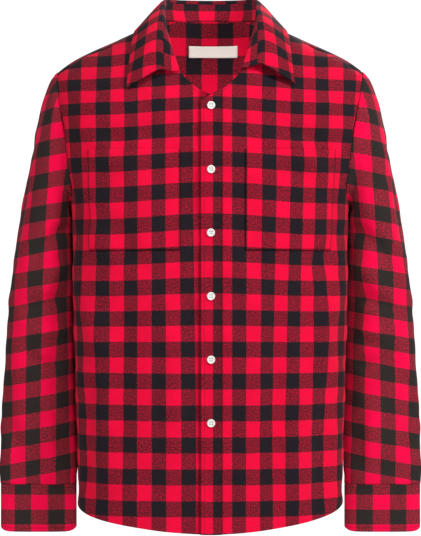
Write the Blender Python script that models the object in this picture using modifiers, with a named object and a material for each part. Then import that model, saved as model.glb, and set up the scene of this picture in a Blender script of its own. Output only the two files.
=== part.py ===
"""A men's flannel shirt in its worn, filled-out form: collar open, placket buttoned, sleeves hanging.

Every piece of cloth is a thin wall on a mid-surface that is worked out from the shirt's sizes.
+X is the wearer's left, the front faces -Y and +Z is up. The origin is the middle of the neck, level
with the shoulders' highest part, where the wearer's neck and shoulders hold the shirt up.
Lengths are in metres.
"""
import math

import bmesh
import bpy
import numpy as np

# ---------------------------------------------------------------- cloth and seams
WALL = 0.0014               # one layer of brushed cloth
BAND_WALL = 0.0012          # placket band and pockets, lying on a front
COLLAR_WALL = 0.0016
CUFF_WALL = 0.0020
SEAM_INSET = 0.00038        # each of two panels stops this far short of their seam
LAYER_STEP = 0.0020         # from one lying layer's middle to the next one's

# ---------------------------------------------------------------- torso
# height, half width, front depth, back depth, squareness of the wearer's right and left front corners
TORSO_RINGS = (
    (-0.730, 0.1895, 0.108, 0.100, 3.3, 2.7),
    (-0.600, 0.1910, 0.109, 0.101, 3.3, 2.7),
    (-0.450, 0.1950, 0.111, 0.103, 3.3, 2.7),
    (-0.350, 0.1975, 0.112, 0.104, 3.4, 2.7),
    (-0.240, 0.1985, 0.112, 0.105, 3.6, 2.7),
    (-0.180, 0.2090, 0.112, 0.104, 3.6, 2.9),
    (-0.120, 0.2210, 0.111, 0.103, 3.5, 3.0),
    (-0.050, 0.2370, 0.106, 0.100, 3.1, 3.0),
    (0.060, 0.2500, 0.100, 0.096, 3.0, 3.0),
)
BACK_SQUARENESS = 2.7
SHOULDER_DROP = 0.110       # height over which the chest and back round in to the shoulder line
# distance across from the middle, height of the shoulder line
SHOULDER_LINE = (
    (0.000, 0.0560),
    (0.010, 0.0556),
    (0.040, 0.0450),
    (0.080, 0.0235),
    (0.130, 0.0000),
    (0.195, -0.0300),
    (0.218, -0.0460),
    (0.260, -0.0850),
)
ARMPIT_Z = -0.240
ARMHOLE_REACH = 0.068       # how far the armhole cuts in from the side line
ARMHOLE_SQUARENESS = 3.5
HEM_CENTRE_Z = -0.7035
HEM_RISE = 0.042
HEM_POWER = 1.70
BACK_HEM_EXTRA = 0.008
YOKE_FRONT_TURN = 0.331     # the yoke's front seam, as an angle down from the shoulder line
YOKE_BACK_Z = -0.085        # its back seam's height

# ---------------------------------------------------------------- neck, front overlap, placket
# across, height: the fronts' neckline from beside the neck down to the V
NECKLINE = (
    (0.0780, 0.0180),
    (0.0650, -0.0040),
    (0.0540, -0.0300),
    (0.0410, -0.0570),
    (0.0200, -0.0770),
    (0.0000, -0.0880),
)
BACK_NECK_Z = 0.0325
OVERLAP = 0.0140            # each front reaches this far past the buttons' line
FRONT_CORNER_SLOPE = 0.60   # and its upper edge falls away there
PLACKET_WIDTH = 0.0300
PLACKET_TOP_GAP = 0.0012
LIFT = (0.0300, 0.0800)     # the left front comes down to the body between these, from the middle

# ---------------------------------------------------------------- pockets
POCKET_WIDTH = 0.1310
POCKET_TOP_Z = -0.1640
POCKET_BOTTOM_Z = -0.3050
POCKET_LIFT = 0.0025
# name, side, inner edge measured round from the middle
POCKETS = (
    ("pocket_right", -1, 0.0430),
    ("pocket_left", 1, 0.0490),
)

# ---------------------------------------------------------------- sleeves and cuffs
# outer point across, its height, inner point across, its height, half depth, middle's y, squareness,
# how far its inner side lies back
SLEEVE_RINGS = (
    (0.2300, -0.0620, 0.2010, -0.2425, 0.0640, 0.000, 2.3, 0.000),
    (0.2400, -0.0860, 0.2016, -0.2480, 0.0650, 0.002, 2.3, 0.000),
    (0.2480, -0.1150, 0.2020, -0.2560, 0.0650, 0.004, 2.3, 0.002),
    (0.2575, -0.1600, 0.2012, -0.2700, 0.0640, 0.006, 2.3, 0.008),
    (0.2715, -0.2320, 0.2002, -0.3000, 0.0610, 0.008, 2.4, 0.015),
    (0.2830, -0.3050, 0.1988, -0.3450, 0.0560, 0.010, 2.4, 0.017),
    (0.2920, -0.3800, 0.1972, -0.4050, 0.0500, 0.012, 2.5, 0.015),
    (0.2985, -0.4600, 0.1958, -0.4750, 0.0420, 0.013, 2.5, 0.012),
    (0.3030, -0.5400, 0.1944, -0.5450, 0.0320, 0.013, 2.6, 0.007),
    (0.3055, -0.6000, 0.1945, -0.6000, 0.0240, 0.013, 2.8, 0.003),
    (0.3050, -0.6440, 0.1962, -0.6440, 0.0180, 0.013, 3.0, 0.000),
)
ARMHOLE_CLEARANCE = 0.0022
CUFF_TOP_Z = -0.6444
CUFF_BOTTOM_Z = -0.7125
CUFF_CENTRE = (0.2500, 0.0130)
CUFF_HALF_WIDTH = 0.0538
CUFF_HALF_DEPTH = 0.0165
CUFF_SQUARENESS = 3.0
CUFF_CORNER_RISE = 0.0060

# ---------------------------------------------------------------- collar
NECK_END_PLACE = 0.790      # the stand's front end, as a share of the half neckline
# One row a station, evenly from the middle of the back to the front end:
# stand's bulge x, y, z; seam of stand and leaf x, y, z; leaf's crown x, y, z; leaf's edge x, y, z
COLLAR_STATIONS = (
    (0.0000, 0.0660, 0.0470, 0.0000, 0.0690, 0.0600, 0.0000, 0.0860, 0.0700, 0.0000, 0.0980, 0.0180),
    (0.0425, 0.0510, 0.0450, 0.0425, 0.0530, 0.0590, 0.0520, 0.0670, 0.0670, 0.0680, 0.0820, 0.0190),
    (0.0670, 0.0140, 0.0420, 0.0640, 0.0160, 0.0560, 0.0730, 0.0190, 0.0600, 0.1020, 0.0250, 0.0175),
    (0.0645, -0.0360, 0.0240, 0.0655, -0.0200, 0.0410, 0.0760, -0.0310, 0.0390, 0.1090, -0.0380, 0.0070),
    (0.0550, -0.0700, -0.0040, 0.0662, -0.0570, 0.0180, 0.0830, -0.0740, 0.0120, 0.1125, -0.0720, -0.0190),
    (0.0450, -0.0975, -0.0300, 0.0662, -0.0930, -0.0150, 0.0880, -0.1050, -0.0240, 0.1150, -0.0970, -0.0510),
    (0.0375, -0.1130, -0.0600, 0.0650, -0.1150, -0.0540, 0.0880, -0.1200, -0.0640, 0.1185, -0.1060, -0.0800),
)
STAND_LIFT = 0.0024         # the stand's seam above the middle of the panels' cloth
COLLAR_LEFT_RISE = 0.0075   # the wearer's left front end of the collar stands this much higher
LEAF_LEAD = 0.0110          # the leaf leaves its seam in the stand's own direction, this strongly
LEAF_SEAM_INSET = 0.0010

# ---------------------------------------------------------------- buttons and label
BUTTON_RADIUS = 0.0057
BUTTON_TAPER = 0.92         # its face's radius, as a share of its own
BUTTON_THICKNESS = 0.0024
BUTTON_X = 0.0008
BUTTON_TOP_Z = -0.1040
BUTTON_PITCH = 0.0886
BUTTON_COUNT = 6
BUTTON_STANDOFF = 0.0024    # from the placket's middle to the button's middle
CUFF_BUTTON_DROP = 0.0340   # below the cuff's seam
CUFF_BUTTON_PLACE = 0.40    # outward from the cuff's middle, as a share of its half width
LABEL_HALF_WIDTH = 0.0365
LABEL_X = 0.0040
LABEL_WALL = 0.0008
LABEL_HEIGHTS = (-0.0160, 0.0006)
LABEL_LIFT = 0.0030

# ---------------------------------------------------------------- divisions of the panels
SEAM_COLUMNS = 6            # along each front's seam with the yoke
NECK_COLUMNS = 7            # along each front's neckline
FRONT_ROWS = 20
ROW_CROWDING = 1.35         # rows lie closer together toward the shoulder
BACK_DIVISIONS = (20, 16)
YOKE_NECK_COLUMNS = 18
YOKE_ROWS = 7
PLACKET_DIVISIONS = (2, 20)
POCKET_DIVISIONS = (9, 6)
LABEL_DIVISIONS = (6, 2)
SLEEVE_SIDES = 24
CUFF_ROWS = (0.0, 0.35, 0.7, 1.0)
COLLAR_DIVISIONS = (24, 4, 6)
BUTTON_SIDES = 20
RING_SAMPLES = 160

# ---------------------------------------------------------------- finishes: colour, roughness
FINISHES = {
    "flannel_body": ((0.42, 0.020, 0.045), 0.90),
    "flannel_sleeve": ((0.44, 0.016, 0.045), 0.90),
    "flannel_trim": ((0.46, 0.022, 0.050), 0.90),
    "button_white": ((0.86, 0.84, 0.80), 0.35),
    "label_cream": ((0.80, 0.77, 0.70), 0.80),
}


# ================================================================ tables and curves
def table_at(rows, at):
    """All columns of a table at one value of its first column, by a monotone cubic."""
    table = np.asarray(rows, dtype=float)
    keys, values = table[:, 0], table[:, 1:]
    slopes = np.diff(values, axis=0) / np.diff(keys)[:, None]
    before, after = slopes[:-1], slopes[1:]
    same_way = before * after > 0
    tangents = np.vstack([slopes[:1], np.zeros_like(before), slopes[-1:]])
    tangents[1:-1][same_way] = (2 * before * after)[same_way] / (before + after)[same_way]
    at = min(max(at, keys[0]), keys[-1])
    cell = min(int(np.searchsorted(keys, at, side="right")) - 1, len(keys) - 2)
    width = keys[cell + 1] - keys[cell]
    t = (at - keys[cell]) / width
    ends = (2 * t**3 - 3 * t**2 + 1) * values[cell] + (3 * t**2 - 2 * t**3) * values[cell + 1]
    return ends + width * ((t**3 - 2 * t**2 + t) * tangents[cell] + (t**3 - t**2) * tangents[cell + 1])


def along(points, shares):
    """Points of a polyline at shares of its length."""
    points = np.asarray(points, dtype=float)
    reach = np.concatenate([[0.0], np.cumsum(np.linalg.norm(np.diff(points, axis=0), axis=1))])
    wanted = np.asarray(shares) * reach[-1]
    return np.column_stack([np.interp(wanted, reach, column) for column in points.T])


def unit(vector):
    return vector / np.linalg.norm(vector)


def smooth_through(points, steps=12):
    """A smooth curve through points, with a number of steps between each two."""
    points = np.asarray(points, dtype=float)
    padded = np.vstack([2 * points[0] - points[1], points, 2 * points[-1] - points[-2]])
    fine = []
    for before, start, end, after in zip(padded, padded[1:], padded[2:], padded[3:]):
        for t in np.linspace(0, 1, steps, endpoint=False):
            fine.append(0.5 * (2 * start + (end - before) * t
                               + (2 * before - 5 * start + 4 * end - after) * t**2
                               + (3 * start - before - 3 * end + after) * t**3))
    return np.vstack([fine, points[-1:]])


def patch(low, high, start, end):
    """A Coons patch: grid [column][row] between four edges, each an array of points."""
    columns, rows = len(low), len(start)
    across = np.linspace(0, 1, columns)[:, None, None]
    up = np.linspace(0, 1, rows)[None, :, None]
    ruled = (1 - up) * low[:, None] + up * high[:, None] + (1 - across) * start[None] + across * end[None]
    corners = ((1 - across) * (1 - up) * low[0] + across * (1 - up) * low[-1]
               + (1 - across) * up * high[0] + across * up * high[-1])
    return ruled - corners


# ================================================================ the torso's surface
class Section:
    """The torso's level section at a height; a place on it is an arc length from the middle."""

    def __init__(self, z, side, back):
        half_width, front, rear, square_right, square_left = table_at(TORSO_RINGS, z)
        square = BACK_SQUARENESS if back else (square_left if side > 0 else square_right)
        angle = np.linspace(0, math.pi / 2, RING_SAMPLES)
        self.x = half_width * np.sin(angle) ** (2 / square)
        self.depth = (rear if back else front) * np.clip(np.cos(angle), 0, 1) ** (2 / square)
        steps = np.hypot(np.diff(self.x), np.diff(self.depth))
        self.arc = np.concatenate([[0.0], np.cumsum(steps)])

    def side_arc(self):
        return self.arc[-1]

    def arc_at(self, x):
        return float(np.interp(abs(x), self.x, self.arc))

    def at_arc(self, q):
        """Distance across and depth at an arc length."""
        return float(np.interp(abs(q), self.arc, self.x)), float(np.interp(abs(q), self.arc, self.depth))


def shoulder_z(x):
    """Height of the shoulder line at a distance across."""
    return float(table_at(SHOULDER_LINE, abs(x))[0])


def torso_point(q, z, back=False):
    """Point of the torso's face: q round from the middle, with the shoulder rounded in."""
    side = 1 if q >= 0 else -1
    x, depth = Section(z, side, back).at_arc(q)
    below = min(max((shoulder_z(x) - z) / SHOULDER_DROP, 0.0), 1.0)
    depth *= math.sqrt(1 - (1 - below) ** 2)
    return np.array([side * x, depth if back else -depth, z])


def drop_at(turn):
    """Height below the shoulder line at an angle over the shoulder; straight down past a quarter."""
    turn = abs(turn)
    if turn <= math.pi / 2:
        return SHOULDER_DROP * (1 - math.cos(turn))
    return SHOULDER_DROP * (1 + turn - math.pi / 2)


def turn_at(drop):
    """The angle over the shoulder for a height below the shoulder line."""
    if drop <= SHOULDER_DROP:
        return math.acos(1 - max(drop, 0.0) / SHOULDER_DROP)
    return math.pi / 2 + drop / SHOULDER_DROP - 1


def shoulder_point(x, turn):
    """Point over the shoulder: across, and an angle from the shoulder line, forward if negative."""
    z = shoulder_z(x) - drop_at(turn)
    side = 1 if x >= 0 else -1
    q = Section(z, side, turn > 0).arc_at(x)
    return torso_point(side * q, z, turn > 0)


def shoulder_end():
    """Distance across at which the armhole crosses the shoulder line."""
    x = SHOULDER_LINE[-2][0]
    for _ in range(6):
        section = Section(shoulder_z(x), 1, False)
        x = section.at_arc(section.side_arc() - ARMHOLE_REACH)[0]
    return x


SHOULDER_X = shoulder_end()


def edge_arc(z, side, back=False):
    """Where the armhole or, below the armpit, the side seam cuts the section at a height."""
    edge = Section(z, side, back).side_arc()
    top = shoulder_z(SHOULDER_X)
    if z <= ARMPIT_Z:
        return edge
    fraction = min(max((top - z) / (top - ARMPIT_Z), 0.0), 1.0)
    return edge - ARMHOLE_REACH * (1 - fraction**ARMHOLE_SQUARENESS) ** (1 / ARMHOLE_SQUARENESS)


def armhole_x(turn, side):
    """Distance across of the armhole at an angle over the shoulder, forward if negative."""
    x = SHOULDER_X
    for _ in range(5):
        z = shoulder_z(x) - drop_at(turn)
        x = Section(z, side, turn > 0).at_arc(edge_arc(z, side, turn > 0) - SEAM_INSET)[0]
    return x


def hem_z(q, side, back=False):
    """Height of the curved shirt-tail hem."""
    share = abs(q) / Section(HEM_CENTRE_Z, side, back).side_arc()
    extra = BACK_HEM_EXTRA * (1 - share**2) if back else 0.0
    return HEM_CENTRE_Z - extra + HEM_RISE * share**HEM_POWER


def edge_line(side, back, low_z, high_z, rows):
    """The armhole and side seam as (q, z), from the hem up."""
    line = []
    for z in np.linspace(low_z, high_z, rows + 1):
        line.append((side * (edge_arc(z, side, back) - SEAM_INSET), z))
    return np.array(line)


# ================================================================ panels, as grids of points
def front_seam(side, inset):
    """The front's seam with the yoke as (x, turn), from the neck out to the armhole."""
    turn = -YOKE_FRONT_TURN + inset / SHOULDER_DROP
    seam = []
    for share in np.linspace(0, 1, SEAM_COLUMNS + 1):
        x = NECKLINE[0][0] + (armhole_x(turn, side) - NECKLINE[0][0]) * share
        seam.append((side * x, turn))
    return seam


def front_area(side, inner_q):
    """Grid of (q, z) over a front; inner_q is its free edge, counted toward its own side."""
    neck = []
    for x, z in smooth_through(NECKLINE)[::-1]:
        neck.append((Section(z, side, False).arc_at(x), z))
    neck.insert(0, (inner_q, neck[0][1] + FRONT_CORNER_SLOPE * inner_q))
    neck = along(neck, np.linspace(0, 1, NECK_COLUMNS + 1))
    seam = []
    for x, turn in front_seam(side, -SEAM_INSET)[1:]:
        z = shoulder_z(x) - drop_at(turn)
        seam.append((Section(z, side, False).arc_at(x), z))
    top = np.vstack([neck, seam])
    low_q = edge_arc(HEM_CENTRE_Z, side) - SEAM_INSET
    low = np.array([(q, hem_z(q, side)) for q in np.linspace(inner_q, low_q, len(top))])
    rise = 1 - (1 - np.linspace(0, 1, FRONT_ROWS + 1)) ** ROW_CROWDING
    zs = low[-1][1] + (top[-1][1] - low[-1][1]) * rise
    edge = np.array([(edge_arc(z, side) - SEAM_INSET, z) for z in zs])
    top[-1] = edge[-1]
    inner = np.column_stack([np.full(len(zs), inner_q), low[0][1] + (top[0][1] - low[0][1]) * rise])
    return patch(low, top, inner, edge)


def overlap_lift(q, side):
    """How far a front stands out: the wearer's left one lies over the right one at the middle."""
    if side < 0:
        return 0.0
    share = min(max((LIFT[1] - q) / (LIFT[1] - LIFT[0]), 0.0), 1.0)
    return LAYER_STEP * share * share * (3 - 2 * share)


def torso_grid(area, side, back=False, lift=0.0):
    """Points of the torso's face over a grid of (q, z), lifted off the panel by a distance."""
    points = np.array([[torso_point(side * q, z, back) for q, z in column] for column in area])
    if back:
        return points
    heights = np.array([[lift + overlap_lift(q, side) for q, z in column] for column in area])
    return raise_grid(points, heights[:, :, None], (0, -1, 0))


def raise_grid(points, distance, outward):
    """A grid of points moved along its own normals, on the side that outward points to."""
    normals = np.cross(np.gradient(points, axis=0), np.gradient(points, axis=1))
    normals /= np.maximum(np.linalg.norm(normals, axis=2, keepdims=True), 1e-12)
    if np.sum(normals @ np.array(outward, dtype=float)) < 0:
        normals = -normals
    return points + distance * normals


def back_grid():
    """Points of the back, between the side seams and below the yoke."""
    columns, rows = BACK_DIVISIONS
    inset = SEAM_INSET
    right = edge_line(-1, True, HEM_CENTRE_Z + HEM_RISE, YOKE_BACK_Z - inset, rows)
    left = edge_line(1, True, HEM_CENTRE_Z + HEM_RISE, YOKE_BACK_Z - inset, rows)
    low = np.array([(q, hem_z(q, 1, True)) for q in np.linspace(right[0][0], left[0][0], columns + 1)])
    high = np.column_stack([np.linspace(right[-1][0], left[-1][0], columns + 1),
                            np.full(columns + 1, YOKE_BACK_Z - inset)])
    return torso_grid(patch(low, high, right, left), 1, True)


def yoke_neck():
    """The neck's edge of the yoke as (x, turn), from its right front corner round the back."""
    half, front_turn = NECKLINE[0][0], -YOKE_FRONT_TURN
    back_turn = turn_at(shoulder_z(0) - BACK_NECK_Z)
    edge = []
    for angle in np.linspace(0, math.pi, 40):
        edge.append((-half * math.cos(angle), front_turn + (back_turn - front_turn) * math.sin(angle)))
    return edge


def yoke_grid():
    """Points of the yoke, from its front seams and the neck back to its back seam."""
    inset = SEAM_INSET / SHOULDER_DROP
    scale = np.array([1.0, SHOULDER_DROP])
    neck = np.array([(x, turn + inset) for x, turn in yoke_neck()]) * scale
    neck = along(neck, np.linspace(0, 1, YOKE_NECK_COLUMNS + 1)) / scale
    high = np.vstack([front_seam(-1, SEAM_INSET)[:0:-1], neck, front_seam(1, SEAM_INSET)[1:]])
    back_x = armhole_x(turn_at(shoulder_z(SHOULDER_X) - YOKE_BACK_Z), 1)
    low = []
    for x in np.linspace(-back_x, back_x, len(high)):
        low.append((x, turn_at(shoulder_z(x) - YOKE_BACK_Z) - inset))
    ends = []
    for side in (-1, 1):
        turns = np.linspace(low[0][1], high[0][1], YOKE_ROWS + 1)
        ends.append(np.array([(side * armhole_x(turn, side), turn) for turn in turns]))
    area = patch(np.array(low), high, ends[0], ends[1])
    return np.array([[shoulder_point(x, turn) for x, turn in column] for column in area])


def placket_grid():
    """Points of the placket band, lying on the wearer's left front along its free edge."""
    columns, rows = PLACKET_DIVISIONS
    top = smooth_through(NECKLINE)[::-1]
    grid = []
    for q in np.linspace(-OVERLAP, PLACKET_WIDTH - OVERLAP, columns + 1):
        high = float(np.interp(q, top[:, 0], top[:, 1]))
        if q < 0:
            high += FRONT_CORNER_SLOPE * q
        grid.append([(q, z) for z in np.linspace(hem_z(q, 1), high - PLACKET_TOP_GAP, rows + 1)])
    return torso_grid(grid, 1, lift=LAYER_STEP)


def pocket_grid(side, inner_q):
    """Points of a chest pocket, lying on its front."""
    columns, rows = POCKET_DIVISIONS
    qs = np.linspace(inner_q, inner_q + POCKET_WIDTH, columns + 1)
    zs = np.linspace(POCKET_BOTTOM_Z, POCKET_TOP_Z, rows + 1)
    return torso_grid([[(q, z) for z in zs] for q in qs], side, lift=POCKET_LIFT)


def armhole_loop(side):
    """The armhole's edge as a loop from the shoulder down the front and up the back."""
    top, low = shoulder_z(SHOULDER_X), ARMPIT_Z
    loop = []
    for angle in np.arange(SLEEVE_SIDES) * 2 * math.pi / SLEEVE_SIDES:
        z = (top + low) / 2 + (top - low) / 2 * math.cos(angle)
        back = angle > math.pi
        point = torso_point(side * edge_arc(z, side, back), z, back)
        loop.append(point + np.array([side * ARMHOLE_CLEARANCE, 0, 0]))
    return loop


def rounded(angle, squareness):
    """Cosine and sine of an angle, on a superellipse."""
    c, s = math.cos(angle), math.sin(angle)
    power = 2 / squareness
    return math.copysign(abs(c) ** power, c), math.copysign(abs(s) ** power, s)


def sleeve_grid(side):
    """Points of a sleeve, ring by ring from the armhole to the cuff."""
    rings = [armhole_loop(side)]
    for outer_x, outer_z, inner_x, inner_z, half_depth, middle_y, squareness, lie_back in SLEEVE_RINGS:
        ring = []
        for angle in np.arange(SLEEVE_SIDES) * 2 * math.pi / SLEEVE_SIDES:
            c, s = rounded(angle, squareness)
            x = (outer_x + inner_x) / 2 + (outer_x - inner_x) / 2 * c
            z = (outer_z + inner_z) / 2 + (outer_z - inner_z) / 2 * c
            y = middle_y - half_depth * s + lie_back * max(-c, 0.0) ** 2
            ring.append(np.array([side * x, y, z]))
        rings.append(ring)
    return np.array(rings)


def cuff_grid(side):
    """Points of a cuff, a band with its lower corners rounded."""
    rings = []
    for share in CUFF_ROWS:
        ring = []
        for angle in np.arange(SLEEVE_SIDES) * 2 * math.pi / SLEEVE_SIDES:
            c, s = rounded(angle, CUFF_SQUARENESS)
            low = CUFF_BOTTOM_Z + CUFF_CORNER_RISE * abs(c) ** 12
            x = side * (CUFF_CENTRE[0] + CUFF_HALF_WIDTH * c)
            z = CUFF_TOP_Z + (low - CUFF_TOP_Z) * share
            ring.append(np.array([x, CUFF_CENTRE[1] - CUFF_HALF_DEPTH * s, z]))
        rings.append(ring)
    return np.array(rings)


def half_neckline():
    """Points along the neck seam from the middle of the back to the V, on the wearer's left."""
    back = [shoulder_point(x, turn) for x, turn in yoke_neck()[20:]]
    front = []
    for x, z in smooth_through(NECKLINE)[1:]:
        front.append(torso_point(Section(z, 1, False).arc_at(x), z))
    return np.array(back + front)


def face_normal(point):
    """Outward direction of the shoulder's rounded face near a point of it."""
    height = point[2] - shoulder_z(point[0]) + SHOULDER_DROP
    return unit(np.array([0.0, point[1] / TORSO_RINGS[-1][2] ** 2, max(height, 0.0) / SHOULDER_DROP**2]))


def collar_stations(count):
    """Neck seam, bulge, leaf seam, crown and edge at stations from the right end to the left."""
    half = along(half_neckline(), np.linspace(0, NECK_END_PLACE, (count + 1) // 2))
    lifted = []
    for side in (-1, 1):
        line = []
        for point in half:
            lift = STAND_LIFT + (overlap_lift(point[0], side) if point[1] < 0 else 0.0)
            line.append((point + lift * face_normal(point)) * (side, 1, 1))
        lifted.append(line)
    seam = np.vstack([lifted[0][:0:-1], lifted[1]])
    left = np.array(COLLAR_STATIONS)
    right = left * np.tile((-1, 1, 1), 4)
    rise = COLLAR_LEFT_RISE * np.linspace(0, 1, len(left)) ** 3
    left[:, 2::3] += rise[:, None] * (0.6, 1, 1, 1)
    rows = smooth_through(np.vstack([right[:0:-1], left]), 16)
    rows = rows[np.round(np.linspace(0, len(rows) - 1, count)).astype(int)]
    return seam, rows[:, 0:3], rows[:, 3:6], rows[:, 6:9], rows[:, 9:12]


def bent(controls, rows, crowding=1.0):
    """A Bezier bend through its control points, as a row of points closer together at its start."""
    degree = len(controls) - 1
    row = []
    for t in np.linspace(0, 1, rows + 1) ** crowding:
        weights = [math.comb(degree, k) * t**k * (1 - t) ** (degree - k) for k in range(degree + 1)]
        row.append(sum(weight * control for weight, control in zip(weights, controls)))
    return row


def stand_grid():
    """Points of the collar stand, from the neck seam to the leaf's seam."""
    columns, rows, _ = COLLAR_DIVISIONS
    seam, bulge, leaf_seam, _, _ = collar_stations(columns + 1)
    grid = []
    for start, middle, end in zip(seam, bulge, leaf_seam):
        grid.append(bent((start, middle, end - LEAF_SEAM_INSET * unit(end - middle)), rows))
    return grid


def leaf_grid():
    """Points of the collar leaf, from its seam over the fold to its edge."""
    columns, _, rows = COLLAR_DIVISIONS
    _, bulge, leaf_seam, crown, edge = collar_stations(columns + 1)
    grid = []
    for before, start, top, end in zip(bulge, leaf_seam, crown, edge):
        lead = unit(start - before)
        grid.append(bent((start + LEAF_SEAM_INSET * lead, start + LEAF_LEAD * lead, top, end), rows, 1.5))
    return grid


def label_grid():
    """Points of the label, lying inside the yoke's back."""
    columns, rows = LABEL_DIVISIONS
    xs = np.linspace(LABEL_X - LABEL_HALF_WIDTH, LABEL_X + LABEL_HALF_WIDTH, columns + 1)
    zs = np.linspace(LABEL_HEIGHTS[0], LABEL_HEIGHTS[1], rows + 1)
    points = np.array([[shoulder_point(x, turn_at(shoulder_z(x) - z)) for z in zs] for x in xs])
    return raise_grid(points, LABEL_LIFT, (0, -1, 0))


# ================================================================ objects
def make_material(name):
    """A Principled material with one finish's colour and roughness."""
    colour, roughness = FINISHES[name]
    material = bpy.data.materials.new(name)
    material.use_nodes = True
    shader = material.node_tree.nodes["Principled BSDF"]
    shader.inputs["Base Color"].default_value = (*colour, 1.0)
    shader.inputs["Roughness"].default_value = roughness
    shader.inputs["Metallic"].default_value = 0.0
    return material


def add_object(name, mesh, finish, collection):
    """Link a mesh as a named object with its own material."""
    item = bpy.data.objects.new(name, mesh)
    mesh.materials.append(bpy.data.materials.get(finish) or make_material(finish))
    collection.objects.link(item)
    return item


def add_cloth(name, grid, wall, finish, collection, closed=False):
    """A sheet of cloth through a grid of points, thickened evenly on both sides."""
    grid = np.asarray(grid, dtype=float)
    columns, rows = grid.shape[:2]
    build = bmesh.new()
    verts = [[build.verts.new(point) for point in column] for column in grid]
    for column in range(columns - 1):
        for row in range(rows if closed else rows - 1):
            after = (row + 1) % rows
            build.faces.new((verts[column][row], verts[column + 1][row],
                             verts[column + 1][after], verts[column][after]))
    mesh = bpy.data.meshes.new(name)
    build.to_mesh(mesh)
    build.free()
    mesh.shade_smooth()
    item = add_object(name, mesh, finish, collection)
    solidify = item.modifiers.new("wall", "SOLIDIFY")
    solidify.thickness = wall
    solidify.offset = 0.0
    solidify.use_even_offset = True
    solidify.use_rim = True
    return item


def add_button(name, centre, normal, collection):
    """A flat round button facing along a normal."""
    mesh = bpy.data.meshes.new(name)
    build = bmesh.new()
    bmesh.ops.create_cone(build, cap_ends=True, segments=BUTTON_SIDES, radius1=BUTTON_RADIUS,
                          radius2=BUTTON_RADIUS * BUTTON_TAPER, depth=BUTTON_THICKNESS)
    build.to_mesh(mesh)
    build.free()
    item = add_object(name, mesh, "button_white", collection)
    item.location = centre
    item.rotation_euler = (math.atan2(math.hypot(normal[0], normal[1]), normal[2]), 0,
                           math.atan2(normal[0], -normal[1]))
    return item


def add_buttons(collection):
    """The placket's buttons, and one on the outer back of each cuff."""
    for index in range(BUTTON_COUNT):
        z = BUTTON_TOP_Z - index * BUTTON_PITCH
        steps = (-BUTTON_RADIUS / 3, 0.0, BUTTON_RADIUS / 3)
        place = [[(BUTTON_X + dq, z + dz) for dz in steps] for dq in steps]
        band = torso_grid(place, 1, lift=LAYER_STEP)
        normal = unit(torso_grid(place, 1, lift=2 * LAYER_STEP)[1][1] - band[1][1])
        add_button(f"button_{index + 1}", band[1][1] + BUTTON_STANDOFF * normal, normal, collection)
    for name, side in (("cuff_button_right", -1), ("cuff_button_left", 1)):
        centre = (side * (CUFF_CENTRE[0] + CUFF_BUTTON_PLACE * CUFF_HALF_WIDTH),
                  CUFF_CENTRE[1] + CUFF_HALF_DEPTH + CUFF_WALL / 2 + BUTTON_THICKNESS,
                  CUFF_TOP_Z - CUFF_BUTTON_DROP)
        add_button(name, centre, np.array([0.0, 1.0, 0.0]), collection)


def build_shirt():
    """Clear the scene and make every piece."""
    for item in list(bpy.data.objects):
        bpy.data.objects.remove(item, do_unlink=True)
    collection = bpy.data.collections.new("flannel_shirt")
    bpy.context.scene.collection.children.link(collection)

    left = torso_grid(front_area(1, -OVERLAP), 1)
    right = torso_grid(front_area(-1, -OVERLAP), -1)
    add_cloth("front_left", left, WALL, "flannel_body", collection)
    add_cloth("front_right", right, WALL, "flannel_body", collection)
    add_cloth("back", back_grid(), WALL, "flannel_body", collection)
    add_cloth("yoke", yoke_grid(), WALL, "flannel_body", collection)
    add_cloth("front_placket", placket_grid(), BAND_WALL, "flannel_trim", collection)
    for name, side, inner_q in POCKETS:
        add_cloth(name, pocket_grid(side, inner_q), BAND_WALL, "flannel_trim", collection)
    for suffix, side in (("right", -1), ("left", 1)):
        add_cloth(f"sleeve_{suffix}", sleeve_grid(side), WALL, "flannel_sleeve", collection, closed=True)
        add_cloth(f"cuff_{suffix}", cuff_grid(side), CUFF_WALL, "flannel_sleeve", collection, closed=True)
    add_cloth("collar_stand", stand_grid(), COLLAR_WALL, "flannel_trim", collection)
    add_cloth("collar_leaf", leaf_grid(), COLLAR_WALL, "flannel_trim", collection)
    add_cloth("label", label_grid(), LABEL_WALL, "label_cream", collection)
    add_buttons(collection)


build_shirt()
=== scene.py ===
"""Looks of a men's flannel shirt in red and black check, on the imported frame.

Each piece of cloth is a thin shell on its solid's form, made from the shirt's own sizes, with the
soft folds, seams, stitches and check added. Lengths are in metres, in the frame's axes: +X is the
wearer's left, the front faces -Y, +Z is up.
"""
import functools
import math

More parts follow.
